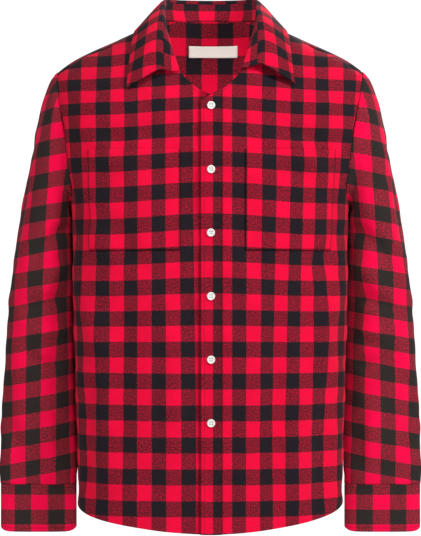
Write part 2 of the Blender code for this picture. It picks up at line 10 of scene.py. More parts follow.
import bmesh
import bpy
import numpy as np
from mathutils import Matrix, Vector

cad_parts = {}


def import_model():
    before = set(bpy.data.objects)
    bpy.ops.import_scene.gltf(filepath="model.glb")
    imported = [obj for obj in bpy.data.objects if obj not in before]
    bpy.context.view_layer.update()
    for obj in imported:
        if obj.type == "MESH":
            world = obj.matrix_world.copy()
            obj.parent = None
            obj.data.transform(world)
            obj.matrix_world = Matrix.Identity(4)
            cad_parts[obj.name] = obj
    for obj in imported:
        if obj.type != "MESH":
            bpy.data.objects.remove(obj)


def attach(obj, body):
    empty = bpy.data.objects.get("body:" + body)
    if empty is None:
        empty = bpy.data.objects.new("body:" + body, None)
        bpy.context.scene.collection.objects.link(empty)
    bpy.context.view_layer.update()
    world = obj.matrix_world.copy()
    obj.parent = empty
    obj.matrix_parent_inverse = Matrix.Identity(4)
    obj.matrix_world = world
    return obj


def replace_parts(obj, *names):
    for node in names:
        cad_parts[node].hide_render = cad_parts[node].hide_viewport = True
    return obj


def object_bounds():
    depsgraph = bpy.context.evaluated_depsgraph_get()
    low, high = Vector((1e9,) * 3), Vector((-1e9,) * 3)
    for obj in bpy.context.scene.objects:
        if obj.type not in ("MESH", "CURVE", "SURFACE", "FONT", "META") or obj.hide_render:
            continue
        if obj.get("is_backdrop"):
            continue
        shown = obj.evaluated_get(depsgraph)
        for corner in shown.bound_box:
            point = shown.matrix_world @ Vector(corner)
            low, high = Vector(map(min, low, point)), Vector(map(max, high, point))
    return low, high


# ---------------------------------------------------------------- cloth
WALL = 0.0013
BAND_WALL = 0.0011
COLLAR_WALL = 0.0016
CUFF_WALL = 0.0019
LAYER_STEP = 0.0018         # from one lying layer's middle to the next one's
GRAIN = (0.0420, 0.0455)    # one repeat of the check, across and down

# ---------------------------------------------------------------- torso, the same form as the solids
# height, half width, front depth, back depth, squareness of the wearer's right and left front corners
TORSO_RINGS = (
    (-0.730, 0.1895, 0.108, 0.100, 3.3, 2.7),
    (-0.600, 0.1910, 0.109, 0.101, 3.3, 2.7),
    (-0.450, 0.1950, 0.111, 0.103, 3.3, 2.7),
    (-0.350, 0.1975, 0.112, 0.104, 3.4, 2.7),
    (-0.240, 0.1985, 0.112, 0.105, 3.6, 2.7),
    (-0.180, 0.2090, 0.112, 0.104, 3.6, 2.9),
    (-0.120, 0.2210, 0.111, 0.103, 3.5, 3.0),
    (-0.050, 0.2370, 0.106, 0.100, 3.1, 3.0),
    (0.060, 0.2500, 0.100, 0.096, 3.0, 3.0),
)
BACK_SQUARENESS = 2.7
SHOULDER_DROP = 0.110
# distance across from the middle, height of the shoulder line
SHOULDER_LINE = (
    (0.000, 0.0560),
    (0.010, 0.0556),
    (0.040, 0.0450),
    (0.080, 0.0235),
    (0.130, 0.0000),
    (0.195, -0.0300),
    (0.218, -0.0460),
    (0.260, -0.0850),
)
ARMPIT_Z = -0.240
ARMHOLE_REACH = 0.068
ARMHOLE_SQUARENESS = 3.5
HEM_CENTRE_Z = -0.7035
HEM_RISE = 0.042
HEM_POWER = 1.70
BACK_HEM_EXTRA = 0.008
YOKE_FRONT_TURN = 0.331
YOKE_BACK_Z = -0.085
SEAM_GAP = 0.0002           # each panel stops this far short of its seam
RING_SAMPLES = 160

# ---------------------------------------------------------------- neck, overlap, placket
# across, height: the fronts' neckline from beside the neck down to the V
NECKLINE = (
    (0.0780, 0.0180),
    (0.0650, -0.0040),
    (0.0540, -0.0300),
    (0.0410, -0.0570),
    (0.0200, -0.0770),
    (0.0000, -0.0880),
)
BACK_NECK_Z = 0.0325
OVERLAP = 0.0140
FRONT_CORNER_SLOPE = 0.60
PLACKET_WIDTH = 0.0300
PLACKET_TOP_GAP = 0.0008
# the upper front stands out fully within the first of these places, and not at all past the second
LIFT = (0.0300, 0.0800)

# ---------------------------------------------------------------- pockets
POCKET_WIDTH = 0.1310
POCKET_TOP_Z = -0.1640
POCKET_BOTTOM_Z = -0.3050
POCKET_LIFT = 0.0025
POCKET_HEM = 0.0260
# name, side, inner edge measured round from the middle
POCKETS = (
    ("pocket_right", -1, 0.0430),
    ("pocket_left", 1, 0.0490),
)

# ---------------------------------------------------------------- sleeves and cuffs
# outer point across, its height, inner point across, its height, half depth, middle's y, squareness,
# how far its inner side lies back; the third ring's inner side lies further in and back than the solid's
SLEEVE_RINGS = (
    (0.2300, -0.0620, 0.2010, -0.2425, 0.0640, 0.000, 2.3, 0.000),
    (0.2400, -0.0860, 0.2016, -0.2480, 0.0650, 0.002, 2.3, 0.000),
    (0.2480, -0.1150, 0.2014, -0.2560, 0.0650, 0.004, 2.3, 0.005),
    (0.2575, -0.1600, 0.2012, -0.2700, 0.0640, 0.006, 2.3, 0.008),
    (0.2715, -0.2320, 0.2002, -0.3000, 0.0610, 0.008, 2.4, 0.015),
    (0.2830, -0.3050, 0.1988, -0.3450, 0.0560, 0.010, 2.4, 0.017),
    (0.2920, -0.3800, 0.1972, -0.4050, 0.0500, 0.012, 2.5, 0.015),
    (0.2985, -0.4600, 0.1958, -0.4750, 0.0420, 0.013, 2.5, 0.012),
    (0.3030, -0.5400, 0.1944, -0.5450, 0.0320, 0.013, 2.6, 0.007),
    (0.3055, -0.6000, 0.1945, -0.6000, 0.0240, 0.013, 2.8, 0.003),
    (0.3050, -0.6440, 0.1962, -0.6440, 0.0180, 0.013, 3.0, 0.000),
)
ARMHOLE_CLEARANCE = 0.0004
CUFF_TOP_Z = -0.6430
CUFF_BOTTOM_Z = -0.7125
CUFF_CENTRE = (0.2500, 0.0130)
CUFF_HALF_WIDTH = 0.0541
CUFF_HALF_DEPTH = 0.0172
CUFF_SQUARENESS = 3.0
CUFF_CORNER_RISE = 0.0060
CUFF_CORNER_POWER = 12      # the higher, the nearer its sides the edge starts to rise
CUFF_LAP = (-1.50, 2 * math.pi - 1.05)  # angles of the cuff's under end and its upper end
CUFF_LAP_TURN = 0.25        # its upper layer lifts off over this angle

# ---------------------------------------------------------------- collar
NECK_END_PLACE = 0.790
# One row a station, evenly from the middle of the back to the front end:
# stand's bulge x, y, z; seam of stand and leaf x, y, z; leaf's crown x, y, z; leaf's edge x, y, z
COLLAR_STATIONS = (
    (0.0000, 0.0660, 0.0470, 0.0000, 0.0690, 0.0600, 0.0000, 0.0860, 0.0700, 0.0000, 0.0980, 0.0180),
    (0.0425, 0.0510, 0.0450, 0.0425, 0.0530, 0.0590, 0.0520, 0.0670, 0.0670, 0.0680, 0.0820, 0.0190),
    (0.0670, 0.0140, 0.0420, 0.0640, 0.0160, 0.0560, 0.0730, 0.0190, 0.0600, 0.1020, 0.0250, 0.0175),
    (0.0645, -0.0360, 0.0240, 0.0655, -0.0200, 0.0410, 0.0760, -0.0310, 0.0390, 0.1090, -0.0380, 0.0070),
    (0.0550, -0.0700, -0.0040, 0.0662, -0.0570, 0.0180, 0.0830, -0.0740, 0.0120, 0.1125, -0.0720, -0.0190),
    (0.0450, -0.0975, -0.0300, 0.0662, -0.0930, -0.0150, 0.0880, -0.1050, -0.0240, 0.1150, -0.0970, -0.0510),
    (0.0375, -0.1130, -0.0600, 0.0650, -0.1150, -0.0540, 0.0880, -0.1200, -0.0640, 0.1185, -0.1060, -0.0800),
)
STAND_LIFT = 0.0012
COLLAR_LEFT_RISE = 0.0075   # the wearer's left front end is this much higher
COLLAR_RISE_SHARES = (0.6, 1, 1, 1)  # of it for the bulge, seam, crown and edge
COLLAR_RISE_POWER = 3
LEAF_LEAD = 0.0110
LEAF_CROWDING = 1.3         # its points lie closer together toward its seam
LEAF_SEAM_INSET = 0.0002

# ---------------------------------------------------------------- buttons and label
BUTTON_RADIUS = 0.0057
BUTTON_THICKNESS = 0.0024
BUTTON_X = 0.0008
BUTTON_TOP_Z = -0.1040
BUTTON_PITCH = 0.0886
BUTTON_COUNT = 6
BUTTON_STANDOFF = 0.0022
CUFF_BUTTON_DROP = 0.0340
CUFF_BUTTON_PLACE = 0.40
LABEL_HALF_WIDTH = 0.0365
LABEL_X = 0.0040
LABEL_WALL = 0.0006
LABEL_HEIGHTS = (-0.0160, 0.0006)
LABEL_LIFT = 0.0018
LABEL_BULGE = 0.0008
LABEL_BULGE_POWER = 6

# ---------------------------------------------------------------- how the check lies on each piece
HALF_BAND = 0.25            # half of a black band, in repeats
COLUMN_LEVELS = (-0.22, -0.54)
# by front: middles of its black columns, across from the middle, at those two heights
CHECK_COLUMNS = {
    -1: ((0.0340, 0.0725, 0.1110, 0.1490, 0.1870), (0.0305, 0.0720, 0.1130, 0.1530, 0.1845)),
    1: ((0.0404, 0.0820, 0.1210, 0.1535, 0.1875), (0.0398, 0.0784, 0.1140, 0.1524, 0.1860)),
}
# height at the fronts' middle, black rows counted from the hem
CHECK_ROWS = (
    (-0.7125, -1.0),
    (-0.6678, 0.0),
    (-0.2208, 10.0),
    (-0.1354, 12.0),
    (-0.0996, 13.0),
    (-0.0301, 15.0),
    (0.0400, 17.0),
)
ROW_DROOP = 0.0075          # the chest's rows hang this much lower at the sides
ROW_DROOP_WIDTH = 0.15      # full this far from the middle
ROW_DROOP_FROM = 0.50       # and it grows from this far below the origin
ROW_DROOP_HEIGHT = 0.25     # over this height
PLACKET_COLUMN = 0.0130     # middle of the placket's black column
PLACKET_PITCH = 0.0385
YOKE_COLUMN = -0.0251       # and of one of the yoke's
YOKE_PITCH = 0.0472
YOKE_ROW_TURN = 0.810       # turn over the shoulder of one of its black rows
YOKE_ROW_TURNS = 0.516      # and from each to the next
# its back's rows are level within the first of these and lie with the shoulder past the second
YOKE_LEVEL_X = (0.070, 0.220)
YOKE_LEVEL_TURN = 0.5       # they are level past this turn
BACK_ROW_Z = -0.0767
# height, distance across of a black column's middle down the front of a sleeve
SLEEVE_COLUMN = (
    (-0.700, 0.2570),
    (-0.570, 0.2565),
    (-0.440, 0.2535),
    (-0.300, 0.2485),
    (-0.206, 0.2410),
    (-0.118, 0.2345),
    (-0.065, 0.2255),
)
SLEEVE_PITCH = (0.0437, 0.0458)
SLEEVE_ROW_Z = -0.1160
SLEEVE_ROW_SLOPE = 0.185
CUFF_COLUMN_X = 0.2715
CUFF_ROW_Z = -0.6912
CUFF_PITCH = (0.0485, 0.0430)
STAND_COLUMN_X = -0.0289
STAND_BACK_Y = 0.04         # its back lies behind this
STAND_PITCH = (0.0480, 0.0430)
STAND_BLACK = 0.0108        # the stand's black row ends this far below the leaf's seam
LEAF_PITCH = (0.0430, 0.0440)
LEAF_SKEW = -0.45           # its columns lean forward by this share of the way out, back if negative
LEAF_SKEW_FROM = 0.0240     # from this far out
LEAF_LEFT_SHIFT = 0.40      # the wearer's left leaf is cut this share of a repeat further on

# ---------------------------------------------------------------- divisions of the shells
FRONT_DIVISIONS = (80, 220)
BACK_DIVISIONS = (120, 170)
YOKE_DIVISIONS = (140, 44)
PLACKET_DIVISIONS = (14, 240)
POCKET_DIVISIONS = (52, 56)
SLEEVE_DIVISIONS = (190, 96)
CUFF_DIVISIONS = (30, 110)
COLLAR_DIVISIONS = (200, 16, 34)
LABEL_DIVISIONS = (40, 10)
EDGE_STEPS = (0.0, 0.0008, 0.0018, 0.0032, 0.0050, 0.0075)
# rough lengths of the panels, for the close rows beside their edges
FRONT_LENGTH = 0.68
BACK_LENGTH = 0.60
YOKE_SIZE = (0.45, 0.16)
CUFF_LENGTH = 0.069
# points along the panels' outlines
SHOULDER_SAMPLES = 30
NECK_SAMPLES = 60
HEM_SAMPLES = (60, 90)      # of a front and of the back
SIDE_SAMPLES = (160, 120)   # the same
YOKE_SAMPLES = (80, 40)     # of its back seam and of its armholes

# ---------------------------------------------------------------- folds
FOLD_DEPTH = 2.4            # all the folds' heights are multiplied by this
# pitch, heading, phase, height
SWELLS = (
    (0.071, 0.5, 0.0, 0.00070),
    (0.047, 2.3, 1.0, 0.00045),
    (0.033, 1.2, 2.0, 0.00028),
)
SWELL_BEND = (1.3, 31.0, 17.0)  # how far the swells bend, and how often going up and across
FOLD_FADE = 4.5             # the higher, the shorter the fade at a fold's ends
# Each row: from q and z, to q and z, bow to its left, height (a trough if negative), half width
FOLDS = {
    "front_right": (
        (0.052, -0.048, 0.002, -0.098, -0.004, -0.0013, 0.0022),
        (0.024, -0.100, 0.023, -0.520, 0.002, -0.0012, 0.0065),
        (0.150, -0.150, 0.075, -0.128, 0.010, -0.0022, 0.012),
        (0.165, -0.185, 0.090, -0.150, 0.012, 0.0018, 0.014),
        (0.180, -0.250, 0.100, -0.330, -0.016, -0.0020, 0.018),
        (0.200, -0.300, 0.150, -0.460, 0.012, 0.0024, 0.017),
        (0.112, -0.320, 0.120, -0.640, 0.008, -0.0022, 0.020),
        (0.062, -0.350, 0.052, -0.690, -0.006, 0.0018, 0.016),
        (0.170, -0.480, 0.182, -0.680, 0.006, -0.0026, 0.016),
        (0.030, -0.140, 0.034, -0.300, 0.004, -0.0012, 0.010),
        (0.100, -0.045, 0.060, -0.120, 0.006, 0.0014, 0.012),
    ),
    "front_left": (
        (0.052, -0.048, 0.010, -0.092, -0.004, -0.0013, 0.0022),
        (0.160, -0.160, 0.085, -0.140, -0.009, -0.0018, 0.011),
        (0.172, -0.205, 0.105, -0.180, -0.010, 0.0016, 0.013),
        (0.190, -0.260, 0.115, -0.350, 0.015, -0.0022, 0.018),
        (0.205, -0.330, 0.160, -0.500, -0.012, 0.0024, 0.018),
        (0.100, -0.330, 0.095, -0.660, -0.008, -0.0020, 0.018),
        (0.060, -0.330, 0.066, -0.560, 0.006, 0.0014, 0.014),
        (0.160, -0.500, 0.150, -0.690, 0.008, -0.0024, 0.017),
        (0.040, -0.480, 0.030, -0.660, -0.004, -0.0012, 0.012),
        (0.110, -0.060, 0.070, -0.115, -0.005, 0.0012, 0.010),
    ),
    "back": (
        (-0.110, -0.100, -0.095, -0.520, 0.010, -0.0035, 0.020),
        (-0.070, -0.110, -0.060, -0.380, -0.008, 0.0026, 0.016),
        (0.105, -0.100, 0.090, -0.480, -0.010, -0.0032, 0.019),
        (0.066, -0.120, 0.050, -0.420, 0.008, 0.0024, 0.017),
        (0.010, -0.130, -0.015, -0.360, 0.006, -0.0018, 0.015),
        (-0.190, -0.300, -0.060, -0.360, 0.014, -0.0030, 0.016),
        (0.195, -0.310, 0.070, -0.380, -0.015, -0.0030, 0.017),
        (-0.170, -0.420, -0.040, -0.455, 0.012, 0.0024, 0.018),
        (0.160, -0.440, 0.030, -0.460, -0.010, 0.0022, 0.017),
        (-0.140, -0.520, -0.150, -0.680, 0.008, -0.0026, 0.020),
        (0.130, -0.530, 0.145, -0.690, -0.008, -0.0026, 0.019),
        (0.000, -0.500, 0.010, -0.700, 0.006, 0.0022, 0.022),
    ),
}
# Each row: from place round and height, to place round and height, bow, height, half width.
# Places round count from the front's middle outward, in metres.
SLEEVE_FOLDS = (
    (-0.052, -0.270, 0.020, -0.330, 0.012, -0.0028, 0.013),
    (-0.050, -0.320, 0.010, -0.375, 0.010, 0.0022, 0.013),
    (-0.050, -0.375, 0.030, -0.400, 0.008, -0.0028, 0.011),
    (-0.048, -0.425, 0.012, -0.430, 0.006, 0.0022, 0.011),
    (-0.046, -0.470, 0.026, -0.450, -0.008, -0.0022, 0.011),
    (0.050, -0.150, 0.040, -0.300, 0.008, -0.0020, 0.015),
    (0.045, -0.480, 0.020, -0.620, 0.008, -0.0024, 0.012),
    (-0.010, -0.520, -0.018, -0.640, -0.005, 0.0018, 0.010),
    (0.110, -0.600, 0.112, -0.645, 0.000, -0.0030, 0.005),
    (0.128, -0.590, 0.130, -0.645, 0.000, -0.0030, 0.005),
    (-0.110, -0.300, -0.150, -0.400, 0.010, -0.0030, 0.014),
    (0.120, -0.330, 0.160, -0.430, -0.010, -0.0028, 0.014),
    (0.130, -0.200, 0.150, -0.330, 0.010, 0.0024, 0.016),
)

# ---------------------------------------------------------------- seams and stitches
SEAM_DIP = 0.0007
SEAM_DIP_WIDTH = 0.0016
PUCKER = 0.00035
PUCKER_REACH = 0.0070
PUCKER_WAVES = ((0.0092, 0.0), (0.0131, 1.1), (0.0227, 2.3))
STITCH_LENGTH = 0.0024
STITCH_GAP = 0.0007
STITCH_RADIUS = 0.00021

HEM_STITCH = 0.0070
SEAM_STITCH = 0.0060
PLACKET_STITCH = 0.0055
POCKET_STITCH = 0.0020
CUFF_STITCH = 0.0055
COLLAR_STITCH = 0.0055
STAND_STITCH = 0.0020
LABEL_STITCH = 0.0018
PLACKET_PUCKER = 1.4 * PUCKER
POCKET_DIP = 0.0004
CUFF_DIP = 0.0005

# ---------------------------------------------------------------- button, in shares of its radius
# radius, height in shares of its thickness: from the back's middle over the rim to the face's middle
BUTTON_PROFILE = (
    (0.0, -0.50), (0.55, -0.50), (0.80, -0.42), (0.95, -0.20), (1.0, 0.02), (0.97, 0.28), (0.90, 0.44),
    (0.82, 0.50), (0.74, 0.44), (0.66, 0.30), (0.55, 0.23), (0.0, 0.22),
)
BUTTON_SIDES = 48
BUTTON_HOLE_PLACE = 0.00155
BUTTON_HOLE_RADIUS = 0.00082
BUTTON_HOLE_SIDES = 14
BUTTON_SHARP_ANGLE = math.radians(40)
THREAD_RADIUS = 0.00024
THREAD_HEIGHT = 0.24        # of the bars across the holes, in shares of the button's thickness
SHANK_SIDES = 12
SHANK_RADIUS = 0.0011
SHANK_LENGTH = 0.0012
SHANK_DROP = 0.0002

# ---------------------------------------------------------------- weave and colours, linear, and the painted shade beside seams and stitches
TWILL_PITCH = 0.0021
TWILL_WANDER = 0.55
BAND_SOFTNESS = 0.012
YARN_WANDER = 0.030
YARN_WANDER_SCALE = 140.0
# painted shade: the cloth's colour darkens beside its seams and beside what is sewn on it, where shade falls
RIM_SHADE = 0.55            # the cloth darkens by this share beside what is sewn on it
RIM_SHADE_REACH = 0.0024
# painted shade along the sunk rows of stitches
STITCH_SHADE = 0.36
STITCH_SHADE_REACH = 0.0010
HEATHER_DARKENING = 0.56
HEATHER_SPECKLE = 2.3
PLAIN_SPECKLE = 0.12
FIBRE_SCALE = 900.0
SPECKLE_SCALE = 480.0
SPECKLE_ROUGHNESS = 0.65
CLOUD_SCALE = 26.0
# the tone is the first of these, plus a share of the clouds and one of the fibres
BASE_TONE = 0.76
CLOUD_TONE = 0.26
FIBRE_TONE = 0.22
RIB_RELIEF = 0.5
# how far the painted shade reaches beside the placket's overlap and above a pocket's mouth
UNDER_SHADE_RATE = 0.45     # beside the overlap distances count this much, so its shade reaches further
MOUTH_SHADE_RATE = 4.0      # and above a pocket's mouth this much, so that one is narrow
FINE_DETAIL = 3.0           # octaves of the finer noises
RED = (0.800, 0.0014, 0.0410)
BLACK = (0.0105, 0.0095, 0.0135)
# painted light: the flannel of the sleeves and cuffs is a brighter copy of the body's, standing in for more
# light on them
SLEEVE_RED_LIT = (0.870, 0.0008, 0.0580)
SLEEVE_BLACK_LIT = (0.0230, 0.0200, 0.0185)
# name, red, black
FLANNELS = (
    ("flannel_body", RED, BLACK),
    ("flannel_sleeve", SLEEVE_RED_LIT, SLEEVE_BLACK_LIT),
    ("flannel_trim", RED, BLACK),
)
FLANNEL_FINISH = {
    "Roughness": 0.92,
    "Specular IOR Level": 0.10,
    "Sheen Weight": 0.04,
    "Sheen Roughness": 0.55,
    "Sheen Tint": (1.0, 0.75, 0.75),
}
FLANNEL_BUMP_DEPTH = 0.0004
BUMP_STRENGTH = 0.3
# name, colour, roughness, scale of its grain, how much the grain darkens it, depth of its bump
PLAINS = (
    ("thread", (0.075, 0.012, 0.016), 0.70, 900.0, 0.40, 0.0001),
    ("button", (0.84, 0.83, 0.80), 0.30, 60.0, 0.06, 0.00002),
    ("button_thread", (0.72, 0.70, 0.66), 0.80, 900.0, 0.30, 0.0001),
    ("label", (0.98, 0.94, 0.86), 0.62, 700.0, 0.12, 0.0001),
    ("label_thread", (0.60, 0.57, 0.50), 0.80, 900.0, 0.30, 0.0001),
)
FLOOR_FINISH = ((0.86, 0.86, 0.86), 0.90, 20.0, 0.02, 0.0001)
STUDIO_WHITE = (1.0, 1.0, 1.0)

# ---------------------------------------------------------------- kinds of cloth
# wall, material of the cloth, material of its stitches
BODY = (WALL, "flannel_body", "thread")
SLEEVE = (WALL, "flannel_sleeve", "thread")
BAND = (BAND_WALL, "flannel_trim", "thread")
CUFF = (CUFF_WALL, "flannel_sleeve", "thread")
COLLAR = (COLLAR_WALL, "flannel_trim", "thread")
LABEL = (LABEL_WALL, "label", "label_thread")

# outward sides of the panels
FORWARD, BACKWARD, UPWARD = (0, -1, 0), (0, 1, 0), (0, 0, 1)

# ---------------------------------------------------------------- studio
FLOOR_Z = -1.15
FLOOR_RADIUS = 2.6
FLOOR_SIDES = 96
WORLD_STRENGTH = 0.26
BACKDROP_EXTRA = 0.82       # the surround looks this much brighter than it lights
# name, place, size, what it is aimed at, power in watts; the last one lies hidden behind the fronts
LIGHTS = (
    ("front", (0.2, -2.5, 2.3), (0.4, 0.4), (0.0, 0.0, -0.33), 58.0),
    ("key", (2.1, -1.9, 1.0), (0.8, 0.8), (0.0, 0.0, -0.33), 48.0),
    ("fill", (-1.9, -2.6, 0.0), (1.6, 1.6), (0.0, 0.0, -0.33), 13.0),
    ("rear", (0.8, 2.6, 1.7), (1.2, 1.2), (0.0, 0.0, -0.33), 60.0),
    ("neck", (0.0, -0.060, -0.150), (0.10, 0.06), (0.0, 0.10, 0.0), 0.22),
)
CAMERA_DISTANCE = 3.0
SENSOR_WIDTH = 36.0
CAMERA_Z = -0.3306
FRAME_HEIGHT = 0.7772        # height of the view at the shirt's middle


# ================================================================ tables and curves
def table_at(rows, at):
    """All columns of a table at one value of its first column, by a monotone cubic."""
    table = np.asarray(rows, dtype=float)
    keys, values = table[:, 0], table[:, 1:]
    slopes = np.diff(values, axis=0) / np.diff(keys)[:, None]
    before, after = slopes[:-1], slopes[1:]
    same_way = before * after > 0
    tangents = np.vstack([slopes[:1], np.zeros_like(before), slopes[-1:]])
    tangents[1:-1][same_way] = (2 * before * after)[same_way] / (before + after)[same_way]
    at = min(max(at, keys[0]), keys[-1])
    cell = min(int(np.searchsorted(keys, at, side="right")) - 1, len(keys) - 2)
    width = keys[cell + 1] - keys[cell]
    t = (at - keys[cell]) / width
    ends = (2 * t**3 - 3 * t**2 + 1) * values[cell] + (3 * t**2 - 2 * t**3) * values[cell + 1]
    return ends + width * ((t**3 - 2 * t**2 + t) * tangents[cell] + (t**3 - t**2) * tangents[cell + 1])


def run_lengths(points):
    """Length run along a line of points, up to each of them."""
    return np.concatenate([[0.0], np.cumsum(np.linalg.norm(np.diff(points, axis=0), axis=1))])


def rows_at(wanted, keys, rows):
    """Rows of values between those known at some keys."""
    return np.column_stack([np.interp(wanted, keys, column) for column in rows.T])


def along(points, places):
    """Points of a polyline at shares of its length."""
    points = np.asarray(points, dtype=float)
    lengths = run_lengths(points)
    return rows_at(np.asarray(places) * lengths[-1], lengths, points)


def pairs(first, second):
    """Two grids of values as one grid of pairs."""
    return np.stack([first, second], axis=-1)


def unit(vector):
    """A vector's direction."""
    return vector / np.linalg.norm(vector)


def eased(share):
    """Zero to one with soft ends, outside them level."""
    share = np.clip(share, 0.0, 1.0)
    return share * share * (3 - 2 * share)


def smooth_through(points, steps=12):
    """A smooth curve through points, with a number of steps between each two."""
    points = np.asarray(points, dtype=float)
    padded = np.vstack([2 * points[0] - points[1], points, 2 * points[-1] - points[-2]])
    fine = []
    for before, start, end, after in zip(padded, padded[1:], padded[2:], padded[3:]):
        for t in np.linspace(0, 1, steps, endpoint=False):
            fine.append(0.5 * (2 * start + (end - before) * t
                               + (2 * before - 5 * start + 4 * end - after) * t**2
                               + (3 * start - before - 3 * end + after) * t**3))
    return np.vstack([fine, points[-1:]])


def shares(count, length, high=True):
    """Shares of a length, evenly apart but close together beside its low end, and its high one if sewn."""
    low_end = np.array(EDGE_STEPS) / length
    high_end = 1 - low_end[::-1] if high else np.array([1.0])
    inner = np.linspace(low_end[-1], high_end[0], count + 3 - len(low_end) - len(high_end))
    return np.concatenate([low_end, inner[1:-1], high_end])


def patch(low, high, start, end, across, up):
    """A Coons patch: grid [column][row] between four edges, at shares across and up."""
    low, high = along(low, across), along(high, across)
    start, end = along(start, up), along(end, up)
    across, up = across[:, None, None], up[None, :, None]
    ruled = ((1 - up) * low[:, None] + up * high[:, None]
             + (1 - across) * start[None] + across * end[None])
    corners = ((1 - across) * (1 - up) * low[0] + across * (1 - up) * low[-1]
               + (1 - across) * up * high[0] + across * up * high[-1])
    return ruled - corners


# ================================================================ the torso's surface
class Section:
    """The torso's level section at a height; a place on it is an arc length from the middle."""

    def __init__(self, z, side, back):
        half_width, front, rear, square_right, square_left = table_at(TORSO_RINGS, z)
        square = BACK_SQUARENESS if back else (square_left if side > 0 else square_right)
        angle = np.linspace(0, math.pi / 2, RING_SAMPLES)
        self.x = half_width * np.sin(angle) ** (2 / square)
        self.depth = (rear if back else front) * np.clip(np.cos(angle), 0, 1) ** (2 / square)
        steps = np.hypot(np.diff(self.x), np.diff(self.depth))
        self.arc = np.concatenate([[0.0], np.cumsum(steps)])

    def side_arc(self):
        return self.arc[-1]

    def arc_at(self, x):
        return float(np.interp(abs(x), self.x, self.arc))

    def at_arc(self, q):
        """Distance across and depth at an arc length."""
        return float(np.interp(abs(q), self.arc, self.x)), float(np.interp(abs(q), self.arc, self.depth))


@functools.lru_cache(maxsize=None)
def section(z, side, back):
    """The section at a height, kept for the next point there."""
    return Section(z, side, back)


@functools.lru_cache(maxsize=None)
def shoulder_z(x):
    """Height of the shoulder line at a distance across."""
    return float(table_at(SHOULDER_LINE, abs(x))[0])


def arc_at(x, z, side, back=False):
    """Arc length from the middle to a distance across, at a height."""
    return section(round(z, 5), side, back).arc_at(x)


def torso_point(q, z, back=False):
    """Point of the torso's face: q round from the middle, with the shoulder rounded in."""
    side = 1 if q >= 0 else -1
    x, depth = section(round(z, 5), side, back).at_arc(q)
    below = min(max((shoulder_z(round(x, 5)) - z) / SHOULDER_DROP, 0.0), 1.0)
    depth *= math.sqrt(1 - (1 - below) ** 2)
    return np.array([side * x, depth if back else -depth, z])


def drop_at(turn):
    """Height below the shoulder line at an angle over the shoulder; straight down past a quarter."""
    turn = abs(turn)
    if turn <= math.pi / 2:
        return SHOULDER_DROP * (1 - math.cos(turn))
    return SHOULDER_DROP * (1 + turn - math.pi / 2)


def turn_at(drop):
    """The angle over the shoulder for a height below the shoulder line."""
    if drop <= SHOULDER_DROP:
        return math.acos(1 - max(drop, 0.0) / SHOULDER_DROP)
    return math.pi / 2 + drop / SHOULDER_DROP - 1


def shoulder_point(x, turn):
    """Point over the shoulder: across, and an angle from the shoulder line, forward if negative."""
    z = shoulder_z(round(x, 5)) - drop_at(turn)
    side = 1 if x >= 0 else -1
    return torso_point(side * arc_at(x, z, side, turn > 0), z, turn > 0)


def shoulder_end():
    """Distance across at which the armhole crosses the shoulder line."""
    x = SHOULDER_LINE[-2][0]
    for _ in range(6):
        level = section(shoulder_z(x), 1, False)
        x = level.at_arc(level.side_arc() - ARMHOLE_REACH)[0]
    return x


SHOULDER_X = shoulder_end()


def edge_arc(z, side, back=False):
    """Where the armhole or, below the armpit, the side seam cuts the section at a height."""
    edge = section(round(z, 5), side, back).side_arc()
    top = shoulder_z(SHOULDER_X)
    if z <= ARMPIT_Z:
        return edge
    fraction = min(max((top - z) / (top - ARMPIT_Z), 0.0), 1.0)
    return edge - ARMHOLE_REACH * (1 - fraction**ARMHOLE_SQUARENESS) ** (1 / ARMHOLE_SQUARENESS)


def armhole_x(turn, side):
    """Distance across of the armhole at an angle over the shoulder, forward if negative."""
    x = SHOULDER_X
    for _ in range(5):
        z = shoulder_z(x) - drop_at(turn)
        x = section(round(z, 5), side, turn > 0).at_arc(edge_arc(z, side, turn > 0) - SEAM_GAP)[0]
    return x


def hem_z(q, side, back=False):
    """Height of the curved shirt-tail hem."""
    share = abs(q) / section(HEM_CENTRE_Z, side, back).side_arc()
    extra = BACK_HEM_EXTRA * (1 - share**2) if back else 0.0
    return HEM_CENTRE_Z - extra + HEM_RISE * share**HEM_POWER


# ================================================================ grids of points
def grid_normals(points, outward):
    """Unit normals of a grid of points, on the side that outward points to."""
    normals = np.cross(np.gradient(points, axis=0), np.gradient(points, axis=1))
    normals /= np.maximum(np.linalg.norm(normals, axis=2, keepdims=True), 1e-12)
    return -normals if np.sum(normals * outward) < 0 else normals


def raise_grid(points, distance, outward):
    """A grid of points moved along its own normals."""
    return points + np.asarray(distance)[..., None] * grid_normals(points, outward)


def reach(points, axis):
    """Length run along a grid's columns or rows up to each of its points."""
    steps = np.linalg.norm(np.diff(points, axis=axis), axis=2)
    start = np.zeros_like(np.take(steps, [0], axis=axis))
    return np.concatenate([start, np.cumsum(steps, axis=axis)], axis=axis)


def edge_distance(points, edge):
    """Each point's distance from an edge of the grid: start, end, low or high."""
    run = reach(points, 0 if edge in ("start", "end") else 1)
    if edge in ("start", "low"):
        return run
    return (run[-1:] if edge == "end" else run[:, -1:]) - run


def waves(place):
    """Uneven waves between about -1 and 1 along a length."""
    return sum(np.sin(2 * math.pi * place / pitch + phase) for pitch, phase in PUCKER_WAVES) / 2


def sewn(points, edges, outward, dip=SEAM_DIP, pucker=PUCKER):
    """A grid with its sewn edges drawn in and a little puckered."""
    height = np.zeros(points.shape[:2])
    for edge in edges:
        far = edge_distance(points, edge)
        place = reach(points, 1 if edge in ("start", "end") else 0)
        height -= dip * np.exp(-(far / SEAM_DIP_WIDTH)**2)
        height += pucker * waves(place) * np.exp(-far / PUCKER_REACH)
    return raise_grid(points, height, outward)


